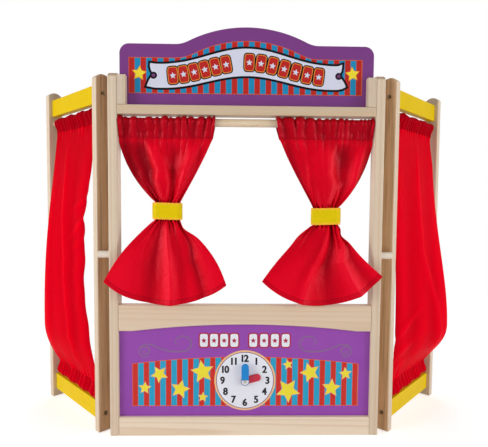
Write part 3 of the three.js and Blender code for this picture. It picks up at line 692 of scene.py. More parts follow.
def satin(name, length, seams, hem=0.0, shine=0.65, bright="#ee0020", deep="#b80014"):
    """Polyester satin: threads crossing every third of a millimetre, streaks along the warp, soft
    crumples, and a red sheen. Painted shade darkens the hollows of folds and the doubled cloth of the
    pocket and hem, a painted highlight lightens the folds' ridges, and a seam is a darker line. It reads
    the cloth's own flat coordinates, in metres, and how far it stands out in folds."""
    finish, shader = new_finish(name, 0.34, Specular_IOR_Level=shine, Specular_Tint=rgb("#ff4058"))
    flat = node(finish, "Attribute", {}, attribute_name="flat_place").outputs["Vector"]
    fold = node(finish, "Attribute", {}, attribute_name="fold").outputs["Fac"]
    warp = node(finish, "TexWave", {"Vector": flat, "Scale": 900}, bands_direction="X").outputs["Fac"]
    weft = node(finish, "TexWave", {"Vector": flat, "Scale": 1100}, bands_direction="Y").outputs["Fac"]
    weave = calc(finish, "ADD", warp, weft)
    streaks = noise(finish, mapped(finish, flat, Scale=(1, 0.05, 1)), 700, 3)
    drift = noise(finish, flat, 22, 3)
    crumple = noise(finish, flat, 45, 2, Distortion=0.8)
    base = tint(finish, spread(finish, drift, 0.0, 0.35), deep, bright)
    threads = tint(finish, spread(finish, streaks, 0.0, 0.25), deep, base)
    colour = tint(finish, spread(finish, weave, 0.0, 0.06), deep, threads)
    # Painted shade in the hollows of folds, and a painted highlight on their ridges.
    colour = tint(finish, between(finish, fold, 0.25, -0.9, 0.9), "#7a000a", colour)
    colour = tint(finish, between(finish, fold, 0.1, 1.1, 0.5), "#ff1434", colour)
    down = part_of(finish, flat, "Y")
    for seam in seams:
        away = calc(finish, "ABSOLUTE", calc(finish, "SUBTRACT", down, seam))
        colour = tint(finish, between(finish, away, 1.3 * MM, 0.4 * MM, 0.3), "#7c000c", colour)
    last = length - hem if hem else seams[1]
    # Painted shade: the doubled cloth of the pocket and of the hem is darker.
    for start, end, share in ((seams[0] + MM, seams[0] - MM, 0.64), (last - MM, last + MM, 0.3)):
        colour = tint(finish, between(finish, down, start, end, share), "#8c000e", colour)
    soft = node(finish, "Bump", {"Height": crumple, "Strength": 1, "Distance": 1.2 * MM}).outputs[0]
    fine = node(finish, "Bump", {"Height": weave, "Strength": 0.5, "Distance": 0.02 * MM, "Normal": soft})
    finish.node_tree.links.new(fine.outputs[0], shader.inputs["Normal"])
    wear(finish, shader, colour, spread(finish, streaks, 0.3, 0.46))
    return finish


def flat_rows(points, length):
    """How far down the flat cut each row of a sheet lies, from its mean distance along the cloth."""
    steps = np.linalg.norm(np.diff(points, axis=0), axis=2).mean(1)
    along = np.concatenate([[0], np.cumsum(steps)])
    return along / along[-1] * length


def stands_out(depth, span):
    """How far each point stands out from the mean of the span of columns at both its sides."""
    padded = np.pad(depth, ((0, 0), (span, span)), mode="edge")
    sums = np.cumsum(np.pad(padded, ((0, 0), (1, 0))), axis=1)
    mean = (sums[:, 2 * span + 1 :] - sums[:, : -(2 * span + 1)]) / (2 * span + 1)
    return mean - depth


def fold_heights(depth):
    """How far each point stands out in narrow folds, in units of 4 mm, and a little in broad ones."""
    return stands_out(depth, 26) / 4 + stands_out(depth, 70) / 16


def cloth_piece(name, points, flat, finish, body, fold=None, thick=CLOTH):
    """A sheet over a grid of points in millimetres. Its flat coordinates run over flat = (width, length)
    in metres, and the cloth gets its thickness half to each side."""
    rows, columns = points.shape[:2]
    index = np.arange(rows * columns).reshape(rows, columns)
    corners = np.stack([index[:-1, :-1], index[1:, :-1], index[1:, 1:], index[:-1, 1:]], -1)
    mesh = bpy.data.meshes.new(name)
    mesh.from_pydata((points.reshape(-1, 3) * MM).tolist(), [], corners.reshape(-1, 4).tolist())
    place = np.zeros((rows, columns, 3))
    place[..., 0] = np.linspace(0, flat[0], columns)
    place[..., 1] = flat_rows(points, flat[1])[:, None]
    mesh.attributes.new("flat_place", "FLOAT_VECTOR", "POINT").data.foreach_set("vector", place.ravel())
    if fold is not None:
        mesh.attributes.new("fold", "FLOAT", "POINT").data.foreach_set("value", fold.ravel())
    mesh.materials.append(finish)
    mesh.shade_smooth()
    piece = add_piece(name, mesh, body)
    wall = piece.modifiers.new("cloth", "SOLIDIFY")
    wall.thickness = thick * MM
    wall.offset = 0
    return piece


def surface(x, y, z):
    """Points in rows and columns, from coordinates that each vary down the rows, along them or both."""
    return np.stack(np.broadcast_arrays(x, y, z), -1)


def down_rows(count):
    """A share from 0 to 1 down a count of rows."""
    return np.linspace(0, 1, count)[:, None]


def mix(a, b, t):
    """The value t of the way from a to b."""
    return a + (b - a) * t


def smooth(t):
    """An eased step: level at both ends of 0 to 1."""
    t = np.clip(t, 0, 1)
    return t * t * (3 - 2 * t)


def scallops(u, creases):
    """Gathers between sharp creases across a cloth: arches that meet at the crease lines."""
    marks = np.array([-0.06, *creases, 1.06])
    phase = np.interp(u, marks, np.arange(len(marks)))
    gap = np.interp(u, (marks[1:] + marks[:-1]) / 2, np.minimum(np.diff(marks) / 0.09, 1.25))
    return gap * np.abs(np.sin(np.pi * phase)) ** 0.75


def relief(u, t, ridges):
    """Folds as ridges down the cloth. A ridge is its places across at the top, halfway and the bottom,
    its widths and its heights there, and its sharpness: height * exp(-(distance / width) ^ sharpness)."""
    total = np.zeros(np.broadcast(u, t).shape)
    stations = np.linspace(0, 1, 3)
    for places, widths, heights, sharp in ridges:
        place, width, height = (
            np.interp(smooth_station(t), stations, values) for values in (places, widths, heights)
        )
        total += height * np.exp(-((np.abs(u - place) / width) ** sharp))
    return total


def smooth_station(t):
    """Rounds the bend that a line through three stations would have at the middle one."""
    return t - 0.08 * np.sin(2 * np.pi * t)


def creased(u, below, creases):
    """How deep the sharp creases lie. A crease is its place across at the pole and at its end, its half
    width across, its depth and its reach downwards: depth * exp(-|distance| / width), dying away."""
    total = np.zeros(np.broadcast(u, below).shape)
    for start, end, width, depth, reach in creases:
        share = np.clip(below / reach, 0, 1)
        away = np.abs(u - mix(start, end, share))
        total = total + depth * np.exp(-away / (1.3 * width * (1 + 2 * share))) * (1 - smooth(share))
    return total


drape = {
    "pocket": 25.5, "ease": 0.35, "puff": 3.8, "crest": 2.6, "puff_fade": 24.0, "stitch": 0.4,
    "stitch_wide": 2.6, "drift": 1.3, "squeeze": 7.0, "fade": 22.0, "bunch": 5.0, "bunch_fade": 3.0,
    "grip": 7.0, "slack": 0.7, "hem": 7.0,
}
waist = {"width": 41.9, "half": 14.7}
band = {
    "width": 47.5, "depth": 16.0, "height": 27.0, "thick": 0.9, "lap": 14.0, "step": 1.0, "full": 0.45,
    "uneven": 0.25, "sway": 0.5, "around": 150, "rows": 25,
}
grid = {"columns": 221, "back": 14, "over": 12, "pocket": 18, "drop": 60, "waist": 8, "skirt": 66}
# How strongly the painted fold shade and highlight show in each part of a front curtain, and the painted
# light that lightens the skirt towards its hem.
shade = {"behind": 0.5, "pocket": 1.4, "drop": (0.8, 0.05), "skirt": 0.6, "skirt_light": (-0.12, 0.35)}


def front_curtain(shape):
    """The curtain's centre surface, in millimetres across from the stage's middle, depth and height.

    From the stitch line at the back the pocket runs up, over the pole and down to the stitch line again.
    Between there and the waist both edges draw in, t to the power of each edge's curve. Below the waist
    the points lie on rays between it and the hem, which is an arc about the waist's middle.

    A shape gives the heading's two ends on the pole, the waist's middle, how far the hem sags between its
    corners, where the gathers' height sways from, and the crease lines that the band squeezes. Of its inner
    and outer edge it gives the hem corner's reach and angle from the waist, how far the skirt's edge bows
    out, how far the pocket is pinched in at its stitch line, how far the corner leans forward, and a tuck
    in the skirt's edge as depth, place and width. Its creases and ridges are those of creased() and
    relief(), and its shaded places are ridges of painted shade alone, painted light where negative."""
    u = np.linspace(0, 1, grid["columns"])[None, :]
    inner, outer = shape["inner"], shape["outer"]
    radius = pole["radius"] + CLOTH / 2 + drape["ease"]
    stitch = pole["z"] - drape["pocket"]
    heading = mix(shape["heading"][0], shape["heading"][1], u)
    pinched = mix(shape["heading"][0] + inner["pinch"], shape["heading"][1] - outer["pinch"], u)
    shift = drape["drift"] * np.sin(2 * np.pi * (2.3 * u + 0.1))
    uneven = 0.3 + 0.7 * np.sin(np.pi * (shape["sway"] + 4.3 * u)) ** 2
    crests = drape["crest"] * uneven * scallops(u, [crease[0] for crease in shape["creases"]])

    def stand(below):
        """How far the gathered cloth stands out at a distance below the pole."""
        past = np.clip(below - drape["pocket"], 0, None)
        fullness = (drape["puff"] + crests) * np.exp(-((past / drape["puff_fade"]) ** 1.5))
        off_stitch = (below - drape["pocket"]) / drape["stitch_wide"]
        sewn = 1 - drape["stitch"] * np.exp(-(off_stitch**2))
        out = fullness - creased(u, below, shape["creases"])
        on_pole = below < drape["pocket"] * 0.6
        return np.where(on_pole, np.clip(out, 0, None), out) * sewn

    up = down_rows(grid["back"])
    back = surface(
        mix(pinched, heading, up) + shift * (1 - up),
        MIDDLE_Y + mix(2 * CLOTH, radius + stand(0), smooth(up * 1.2)),
        mix(stitch, pole["z"], up),
    )
    turn = np.linspace(0, np.pi, grid["over"] + 2)[1:-1, None]
    reach = radius + stand(0) * mix(1, 0.75, np.sin(turn))
    over = surface(heading, MIDDLE_Y + reach * np.cos(turn), pole["z"] + reach * np.sin(turn))
    fall = down_rows(grid["pocket"])
    face = surface(
        mix(heading, pinched, fall) + shift * fall,
        MIDDLE_Y - mix(radius, SEWN, smooth(fall * 1.15)) - stand(fall * drape["pocket"]),
        mix(pole["z"], stitch, fall),
    )

    narrow = shape["waist"][0] + (u - 0.5) * waist["width"]
    waist_top = shape["waist"][1] + waist["half"]
    waist_low = shape["waist"][1] - waist["half"]
    tight = drape["squeeze"] * (0.5 - scallops(u, shape["squeezed"]) / 1.25)
    bunched = drape["bunch"] * np.sin(2 * np.pi * (9.5 * u + 0.4 * np.sin(2 * np.pi * 1.7 * u)))

    def pleated(away):
        """How deep the waist's pleats are at a distance from the band."""
        wide = tight * np.exp(-((away / drape["fade"]) ** 1.2))
        return wide + bunched * np.exp(-((away / drape["bunch_fade"]) ** 1.5))

    def packed(offset, away):
        """Keeps the cloth inside the band: an offset tends to the band's inner half depth near it."""
        room = band["depth"] / 2 - band["thick"] - CLOTH - drape["slack"]
        return mix(offset, room * np.tanh(offset / room), np.exp(-((away / drape["grip"]) ** 2)))

    t = down_rows(grid["drop"] + 1)[1:]
    height = mix(stitch, waist_top, t)
    folded = relief(u, t, shape["folds"]) * smooth(t * 3.5)
    above = height - waist_top
    curve = mix(inner["curve"], outer["curve"], u)
    at_stitch = SEWN * (1 - smooth(8 * t))
    drop = surface(
        mix(pinched, narrow, t**curve) + shift * (1 - smooth(3 * t)),
        MIDDLE_Y + packed(pleated(above) - folded, above) - stand(pole["z"] - height) - at_stitch,
        height,
    )
    down = down_rows(grid["waist"] + 1)[1:]
    held = relief(u, 1.0, shape["folds"]) * (1 - down) + relief(u, 0.0, shape["skirt_folds"]) * down
    depth = MIDDLE_Y + packed(tight + bunched - held, 0)
    middle = surface(narrow, depth, mix(waist_top, waist_low, down))

    t = down_rows(grid["skirt"] + 1)[1:]
    angle = np.radians(mix(-inner["angle"], outer["angle"], u))
    length = mix(inner["reach"], outer["reach"], u) + shape["sag"] * np.sin(np.pi * u)
    hem = [shape["waist"][0] + length * np.sin(angle), shape["waist"][1] - length * np.cos(angle)]
    bow = mix(-inner["bow"], outer["bow"], u) * np.sin(np.pi * t)
    tuck = np.zeros(np.broadcast(u, t).shape)
    for way, edge, off in ((1, inner, u), (-1, outer, 1 - u)):
        deep, place, wide = edge["tuck"]
        tuck += way * deep * np.clip(1 - off / 0.3, 0, 1) ** 2 * np.exp(-(((t - place) / wide) ** 2))
    lean = mix(inner["lean"], outer["lean"], u)
    under = t * (waist_low - hem[1])
    hem_share = drape["hem"] / length
    turned_up = 0.5 * smooth((t - 1 + hem_share) / hem_share * 6)
    pleats = packed(pleated(under) - relief(u, t, shape["skirt_folds"]), under)
    skirt = surface(
        mix(narrow, hem[0], t) + bow + tuck,
        mix(MIDDLE_Y, -lean, np.sqrt(t)) + pleats - turned_up,
        mix(waist_low, hem[1], t),
    )
    return np.vstack([back, over, face, drop, middle, skirt])


def front_shades(points, shape):
    """How far the curtain seems to stand out, for the painted shade and painted highlight of its colour.
    The painted folds show weakly behind the pole and strongly in the pocket and fade towards the waist,
    and painted light makes the skirt lighter towards its hem. The shape's shaded places are taken off:
    painted shade, and painted light where their height is negative."""
    u = np.linspace(0, 1, grid["columns"])[None, :]
    fold = fold_heights(points[..., 1])
    face_row = grid["back"] + grid["over"]
    drop_row = face_row + grid["pocket"]
    fold[:face_row] *= shade["behind"]
    fold[face_row:drop_row] *= shade["pocket"]
    t = down_rows(grid["drop"])
    # Painted shade at the shape's shaded places, painted light where their height is negative.
    shaded = relief(u, t, shape["shaded"]) * smooth(0.3 + 6 * t)
    drop = slice(drop_row, drop_row + grid["drop"])
    fold[drop] = mix(*shade["drop"], t) * fold[drop] - shaded
    # Painted light: the skirt grows lighter towards its hem.
    t = down_rows(grid["skirt"])
    skirt = slice(-grid["skirt"], None)
    fold[skirt] = shade["skirt"] * fold[skirt] + mix(*shade["skirt_light"], t)
    return fold


left_front = {
    # Painted shade over the curtain's outer upper part.
    "shaded": [((0.92, 0.90, 0.88), (0.20, 0.22, 0.16), (0.6, 0.7, 0.5), 4)],
    "heading": (50.5, 203.5),
    "sway": 0.15,
    "waist": (127.0, 366.5),
    "sag": 0.0,
    "inner": {
        "reach": 151, "angle": 39.5, "bow": 12, "curve": 1.05,
        "pinch": 3.0, "lean": 6, "tuck": (7.5, 0.13, 0.09),
    },
    "outer": {
        "reach": 146, "angle": 41, "bow": 8, "curve": 1.95,
        "pinch": 0.8, "lean": 15, "tuck": (0, 0.13, 0.09),
    },
    "creases": [
        (0.035, 0.05, 0.010, 2.5, 20), (0.10, 0.13, 0.018, 5, 40), (0.205, 0.24, 0.022, 7, 34),
        (0.29, 0.245, 0.013, 4, 30), (0.355, 0.34, 0.012, 2.5, 18), (0.43, 0.385, 0.020, 6.5, 30),
        (0.485, 0.53, 0.012, 3, 22), (0.575, 0.52, 0.020, 6.5, 46), (0.64, 0.65, 0.014, 6, 22),
        (0.75, 0.70, 0.032, 8, 40), (0.805, 0.76, 0.014, 4, 64), (0.90, 0.915, 0.020, 6.5, 26),
        (0.955, 0.93, 0.012, 3, 48),
    ],
    "squeezed": [0.07, 0.35, 0.43, 0.79, 0.88],
    "folds": [
        ((0.10, 0.04, 0.02), (0.05, 0.04, 0.05), (-1.5, -2, -1), 2),
        ((0.19, 0.22, 0.20), (0.07, 0.08, 0.11), (4.5, 7.5, 4.5), 1.7),
        ((0.40, 0.42, 0.36), (0.09, 0.07, 0.05), (-4, -6.5, -4), 1.7),
        ((0.66, 0.58, 0.60), (0.06, 0.11, 0.17), (4, 5, 3.5), 3.5),
        ((1.0, 1.0, 1.0), (0.27, 0.32, 0.20), (-5, -8.5, -5), 7),
        ((0.90, 0.86, 0.92), (0.04, 0.05, 0.05), (1.5, 3, 2), 1.6),
    ],
    "skirt_folds": [
        ((0.02, 0.05, 0.06), (0.10, 0.11, 0.12), (1, 4, 5), 2),
        ((0.12, 0.22, 0.20), (0.05, 0.05, 0.06), (-4, -6, -5), 1.4),
        ((0.30, 0.34, 0.36), (0.06, 0.07, 0.07), (1, -2.5, -2), 1.8),
        ((0.50, 0.47, 0.45), (0.06, 0.045, 0.05), (3.5, 6.5, 6), 1.4),
        ((0.66, 0.65, 0.62), (0.07, 0.09, 0.10), (-3, -6, -5.5), 1.8),
        ((0.86, 0.88, 0.85), (0.12, 0.12, 0.13), (2, 4.5, 5), 2.2),
    ],
}
right_front = {
    # Painted shade high on the outer part, turning to painted light lower down, and painted shade by the
    # inner edge.
    "shaded": [
        ((0.68, 0.75, 0.90), (0.11, 0.12, 0.09), (0.45, -0.15, -0.1), 2.6),
        ((0.05, 0.03, 0.02), (0.10, 0.08, 0.07), (0.3, 0.5, 0.4), 3),
    ],
    "heading": (47.0, 203.5),
    "sway": 0.6,
    "waist": (129.2, 359.8),
    "sag": 5.0,
    "inner": {
        "reach": 147, "angle": 45, "bow": 6, "curve": 1.0,
        "pinch": 4.0, "lean": 6, "tuck": (-5.5, 0.16, 0.17),
    },
    "outer": {
        "reach": 128, "angle": 42.8, "bow": -8, "curve": 2.0,
        "pinch": 1.5, "lean": 15, "tuck": (6, 0.2, 0.1),
    },
    "creases": [
        (0.06, 0.11, 0.014, 2.5, 36), (0.19, 0.225, 0.022, 4, 24), (0.30, 0.26, 0.014, 3, 26),
        (0.405, 0.46, 0.020, 5.5, 32), (0.48, 0.475, 0.024, 6.5, 48), (0.55, 0.57, 0.014, 3, 20),
        (0.63, 0.595, 0.022, 5.5, 40), (0.70, 0.69, 0.014, 4, 24), (0.755, 0.77, 0.014, 6.5, 22),
        (0.81, 0.775, 0.014, 5.5, 40), (0.85, 0.86, 0.013, 6.5, 22), (0.895, 0.875, 0.013, 5, 56),
        (0.935, 0.94, 0.011, 5, 24), (0.97, 0.955, 0.010, 4, 34),
    ],
    "squeezed": [0.07, 0.14, 0.72, 0.82, 0.95],
    "folds": [
        ((0.0, 0.0, 0.0), (0.12, 0.13, 0.09), (-4, -6, -3), 2.4),
        ((0.28, 0.25, 0.14), (0.035, 0.035, 0.05), (1.5, 2.5, 2), 1.3),
        ((0.46, 0.46, 0.50), (0.16, 0.18, 0.22), (4, 6, 4), 4),
        ((0.69, 0.74, 0.88), (0.10, 0.11, 0.06), (-6, -7, -5), 2.4),
        ((0.89, 0.92, 0.99), (0.05, 0.05, 0.04), (3, 5, 2), 1.7),
        ((1.0, 1.0, 1.0), (0.05, 0.05, 0.03), (-3, -5, -1), 1.6),
    ],
    "skirt_folds": [
        ((0.2, 0.2, 0.16), (0.14, 0.14, 0.14), (1, 3, 4), 2.2),
        ((0.60, 0.43, 0.33), (0.05, 0.04, 0.04), (4, 6.5, 6), 1.3),
        ((0.72, 0.58, 0.55), (0.07, 0.10, 0.11), (-4, -7, -6.5), 2.0),
        ((0.95, 0.77, 0.77), (0.05, 0.045, 0.05), (2, 6.5, 6.5), 1.4),
        ((1.0, 0.90, 0.90), (0.05, 0.06, 0.06), (-1, -3, -3), 1.8),
    ],
}


def on_stage(points, side):
    """Turns millimetres across, behind the front face and up into the scene's, for a side of -1 or 1."""
    return points * (side, 1, 1) + (0, front / MM, 0)


SIDES = {"left": -1, "right": 1}
front_flat = (0.205, 0.33)
front_shapes = {"left": left_front, "right": right_front}
for name, shape in front_shapes.items():
    points = front_curtain(shape)
    sewn_row = grid["back"] + grid["over"] + grid["pocket"] - 1
    hem_seam = front_flat[1] - drape["hem"] * MM
    seams = [float(flat_rows(points, front_flat[1])[sewn_row]), hem_seam]
    curtain = cloth_piece(
        f"curtain_front_{name}",
        on_stage(points, SIDES[name]),
        front_flat,
        satin(f"satin_front_{name}", front_flat[1], seams, drape["hem"] * MM),
        f"{name}_curtain",
        front_shades(points, shape),
    )
    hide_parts(f"front_curtain_{name}")

# The bands: yellow grosgrain ribbon wound once round each waist, its ends lapped at the back. Both edges
# of the ribbon carry a painted highlight, warmed towards orange by painted red reflection.


def grosgrain(name):
    """Ribbed ribbon: ribs across it every 0.8 mm, and a lighter, warmer painted highlight along both edges.
    """
    finish, shader = new_finish(name, 0.5, Specular_IOR_Level=0.4, Specular_Tint=rgb("#ffd020"))
    flat = node(finish, "Attribute", {}, attribute_name="flat_place").outputs["Vector"]
    ribs = node(finish, "TexWave", {"Vector": flat, "Scale": 390}, bands_direction="X").outputs["Fac"]
    drift = noise(finish, flat, 90, 3)
    half = band["height"] / 2 * MM
    away = calc(finish, "ABSOLUTE", calc(finish, "SUBTRACT", part_of(finish, flat, "Y"), half))
    base = tint(finish, spread(finish, drift, 0, 0.5), "#dfc00a", "#eed412")
    ribbed = tint(finish, spread(finish, ribs, 0, 0.25), "#b89600", base)
    # Painted highlight and painted red reflection along both edges.
    edge_highlight = between(finish, away, half - 3.2 * MM, half - 2.2 * MM)
    colour = tint(finish, edge_highlight, "#ffbe3a", ribbed)
    wear(finish, shader, colour, spread(finish, drift, 0.42, 0.58), ribs, 0.06 * MM)
    return finish


def band_surface(shape):
    """The band's centre surface: a flattened loop about the waist that winds inwards a little more than
    once, fuller at mid height than at its edges."""
    straight = band["width"] - band["depth"]
    round_off = (band["depth"] - band["thick"]) / 2
    around = 2 * straight + 2 * np.pi * round_off
    walk = np.linspace(0, around + band["lap"], band["around"])[None, :]
    start = straight / 2 - band["lap"] / 2
    place = (walk + start) % around
    bend = np.pi * round_off
    on_back = place < straight
    on_right = (place >= straight) & (place < straight + bend)
    on_front = (place >= straight + bend) & (place < 2 * straight + bend)
    turn = np.where(on_right, (place - straight) / round_off, (place - 2 * straight - bend) / round_off)
    out_x = np.where(on_back | on_front, 0, np.sin(turn) * np.where(on_right, 1, -1))
    out_y = np.where(on_back, 1, np.where(on_front, -1, np.cos(turn) * np.where(on_right, 1, -1)))
    axis_x = np.select(
        [on_back, on_right, on_front],
        [place - straight / 2, straight / 2, straight * 1.5 + bend - place],
        -straight / 2,
    )
    v = down_rows(band["rows"])
    wound = band["step"] * (1 - walk / (around + band["lap"])) ** 2
    uneven = band["uneven"] * np.sin(np.pi * v) * np.sin(9 * np.pi * walk / around + 0.6)
    reach = round_off + wound + (band["full"] * np.sin(np.pi * v) + uneven)
    across = shape["waist"][0] + axis_x + out_x * reach
    height = shape["waist"][1] + (v - 0.5) * band["height"] + band["sway"] * np.sin(axis_x / 14)
    return surface(across, MIDDLE_Y + out_y * reach, height), around + band["lap"]


band_finish = grosgrain("yellow_grosgrain")
for name, shape in front_shapes.items():
    points, length = band_surface(shape)
    flat = (length * MM, band["height"] * MM)
    tie = cloth_piece(
        f"band_{name}",
        on_stage(points, SIDES[name]),
        flat,
        band_finish,
        f"{name}_curtain",
        thick=band["thick"],
    )
    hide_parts(f"curtain_tie_{name}")

# The wings' rails: pine painted in a bright yellow gloss, screwed between the stiles from outside. The grain
# still shows through the paint as fine ridges along the rail.


def painted_rail(name, turn, colour, deep):
    """Brushed gloss paint over wood: grain ridges and brush marks along the rail, slightly uneven cover."""
    finish, shader = new_finish(name, 0.38, Specular_IOR_Level=0.04, Specular_Tint=rgb("#ffd820"))
    rail = mapped(finish, object_place(finish), Rotation=turn)
    drawn = mapped(finish, rail, Scale=(1, 1, 0.05))
    grain = noise(finish, drawn, 420, 4)
    cover = noise(finish, drawn, 45, 2)
    base = tint(finish, spread(finish, cover, 0.0, 0.6), deep, colour)
    brushed = tint(finish, spread(finish, grain, 0.0, 0.25), "#c89a00", base)
    wear(finish, shader, brushed, spread(finish, grain, 0.32, 0.48), grain, 0.05 * MM)
    return finish


SPLAY = math.radians(90 - 43.5)
stile_piths = {
    "wing_front_stile_left": (0.26, 0.05, 0.9),
    "wing_front_stile_right": (-0.20, 0.02, 1.3),
    "wing_back_stile_left": (0.33, -0.11, 1.7),
    "wing_back_stile_right": (-0.33, -0.20, 2.3),
}
for name, pith in stile_piths.items():
    side = SIDES[name.split("_")[-1]]
    # The front stile's face towards the post is darker and warmer: partly heartwood, partly painted shade of
    # the groove, lighter on the right wing.
    to_post = (-side * math.cos(SPLAY), -math.sin(SPLAY), 0) if "front" in name else None
    brown = HEARTWOOD_AND_GROOVE_SHADE if side < 0 else ("#deb284", "#d2a270", "#ae8250")
    dress(name, pine("pine_" + name, ALONG_Z, pith, heartwood_and_shade_face=to_post, brown=brown))
for name, side in SIDES.items():
    along_wing = (0, math.pi / 2, -side * SPLAY)
    birch_along = birch(f"birch_wing_{name}", along_wing)
    # The bottom rails' yellow is lighter than the top rails': painted light from below.
    for level, coats in {"top": ("#eac800", "#deba00"), "bottom": ("#f2d21c", "#e8c610")}.items():
        dress(f"wing_{level}_rail_{name}", painted_rail(f"yellow_{level}_{name}", along_wing, *coats))
        dress(f"side_pole_{level}_{name}", birch_along)

# The wings' screws: countersunk wood screws in yellowed zinc, one through a stile into each end of each
# rail. Their flat heads show a cross recess only as a cross of painted shade.


def screw_finish(name):
    """Yellow zinc, brushed round and stained, with a cross of painted shade, standing for the recess, about
    the screw's own axis.
    """
    finish, shader = new_finish("zinc_" + name, 0.35, Metallic=0.85)
    low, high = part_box(name)
    side = SIDES[name.split("_")[-1]]
    place = object_place(finish)
    centred = vector_calc(finish, "SUBTRACT", place, tuple((low + high) / 2))
    inwards = (-side * math.sin(SPLAY), math.cos(SPLAY), 0)
    arms = []
    for way in (inwards, (0, 0, 1)):
        off = vector_calc(finish, "DOT_PRODUCT", centred, way, result="Value")
        arms.append(calc(finish, "ABSOLUTE", off))
    # Painted shade of a cross recess that the head does not have.
    narrow = between(finish, calc(finish, "MINIMUM", *arms), 0.9 * MM, 0.6 * MM)
    within = between(finish, calc(finish, "MAXIMUM", *arms), 2.4 * MM, 2.0 * MM)
    stain = noise(finish, place, 900, 2)
    metal = tint(finish, spread(finish, stain, 0.0, 0.7), "#94783e", "#e0c488")
    colour = tint(finish, calc(finish, "MULTIPLY", narrow, within), "#1e1812", metal)
    wear(finish, shader, colour, spread(finish, stain, 0.28, 0.5), stain, 0.02 * MM)
    return finish


for end in ("front", "back"):
    for level in ("top", "bottom"):
        for name in ("left", "right"):
            screw = f"wing_screw_{end}_{level}_{name}"
            dress(screw, screw_finish(screw))

# The hinges: brass-plated butt hinges, two on each side. One leaf is screwed to the post's back, the other
# to the wing's front stile, and both turn on a steel pin. Each leaf has two small domed screws.
hinge = {
    "across": half_width / MM,
    "deep": 27.9,
    "face": -1.0,
    "screw_off": 6.6,
    "screw_apart": 24.0,
    "head": 2.1,
    "dome": 0.75,
    "recess": 0.45,
}


def old_metal(name, colour, dull, scale):
    """Plated metal, a little stained and scratched, rougher where it is stained."""
    finish, shader = new_finish(name, 0.35, Metallic=0.9)
    place = object_place(finish)
    stain = noise(finish, place, scale, 4)
    scratch = noise(finish, mapped(finish, place, Scale=(1, 1, 0.05)), 2400, 2)
    stained = tint(finish, spread(finish, stain, 0.0, 0.8), dull, colour)
    metal = tint(finish, spread(finish, scratch, 0.0, 0.25), dull, stained)
    wear(finish, shader, metal, spread(finish, stain, 0.25, 0.5), scratch, 0.01 * MM)
    return finish


brass = old_metal("hinge_brass", "#d8b468", "#94713a", 160)
pin_steel = old_metal("pin_steel", "#c4c6c8", "#84868a", 240)
for level in ("lower", "upper"):
    for name in ("left", "right"):
        dress(f"hinge_post_leaf_{level}_{name}", brass)
        dress(f"hinge_wing_leaf_{level}_{name}", brass)
        dress(f"hinge_pin_{level}_{name}", pin_steel)


def screw_heads(heights):
    """Domed heads on a leaf's face, in millimetres off the hinge's axis. Over a disc the dome is a flat
    half ellipse, less a recess along both cross lines that ends at 0.7 of the radius. A foot closes it."""
    share = np.concatenate([np.linspace(0, 1, 12), [1, 0]])[:, None]
    turn = np.linspace(0, 2 * np.pi, 40, endpoint=False)[None, :]
    x, z = hinge["head"] * share * np.cos(turn), hinge["head"] * share * np.sin(turn)
    off_line = np.minimum(np.abs(x), np.abs(z)) / (0.16 * hinge["head"])
    recess = hinge["recess"] * np.exp(-(off_line**4) - (share / 0.7) ** 10)
    stands = hinge["dome"] * np.sqrt(1 - share**2) - recess
    stands[-2:] = -0.1
    head = surface(hinge["screw_off"] + x, hinge["face"] + stands, z)
    return np.stack([head + (0, 0, height) for height in heights])


def on_post(points, side):
    """Turns millimetres inwards from a hinge's axis, backwards and up into the scene's."""
    inward, back, height = np.moveaxis(points, -1, 0)
    return surface(side * (hinge["across"] - inward), hinge["deep"] + back + front / MM, height)


def on_wing(points, side):
    """Turns a wing's own millimetres, along it from its hinge, inwards and up, into the scene's."""
    along, inward, height = np.moveaxis(points, -1, 0)
    across = hinge["across"] + along * math.cos(SPLAY) - inward * math.sin(SPLAY)
    depth = hinge["deep"] + along * math.sin(SPLAY) + inward * math.cos(SPLAY)
    return surface(side * across, depth + front / MM, height)


def closed_rows(name, parts, finish, body):
    """One piece of several closed forms, each a grid whose rows run round and whose ends are points."""
    count, rows, columns = parts.shape[:3]
    index = np.arange(count * rows * columns).reshape(count, rows, columns)
    beside = np.roll(index, -1, 2)
    corners = np.stack([index[:, :-1], index[:, 1:], beside[:, 1:], beside[:, :-1]], -1).reshape(-1, 4)
    mesh = bpy.data.meshes.new(name)
    mesh.from_pydata((parts.reshape(-1, 3) * MM).tolist(), [], corners.tolist())
    whole = bmesh.new()
    whole.from_mesh(mesh)
    bmesh.ops.remove_doubles(whole, verts=whole.verts, dist=0.001 * MM)
    bmesh.ops.recalc_face_normals(whole, faces=whole.faces)
    whole.to_mesh(mesh)
    whole.free()
    mesh.materials.append(finish)
    mesh.shade_smooth()
    add_piece(name, mesh, body)


pins = [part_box(f"hinge_pin_{level}_left") for level in ("lower", "upper")]
pin_heights = [(low.z + high.z) / 2 / MM for low, high in pins]
heads = screw_heads([height + way * hinge["screw_apart"] / 2 for height in pin_heights for way in (-1, 1)])
for name, side in SIDES.items():
    closed_rows(f"hinge_screws_post_{name}", on_post(heads, side), brass, "front_frame")
    closed_rows(f"hinge_screws_wing_{name}", on_wing(heads, side), brass, f"{name}_wing")

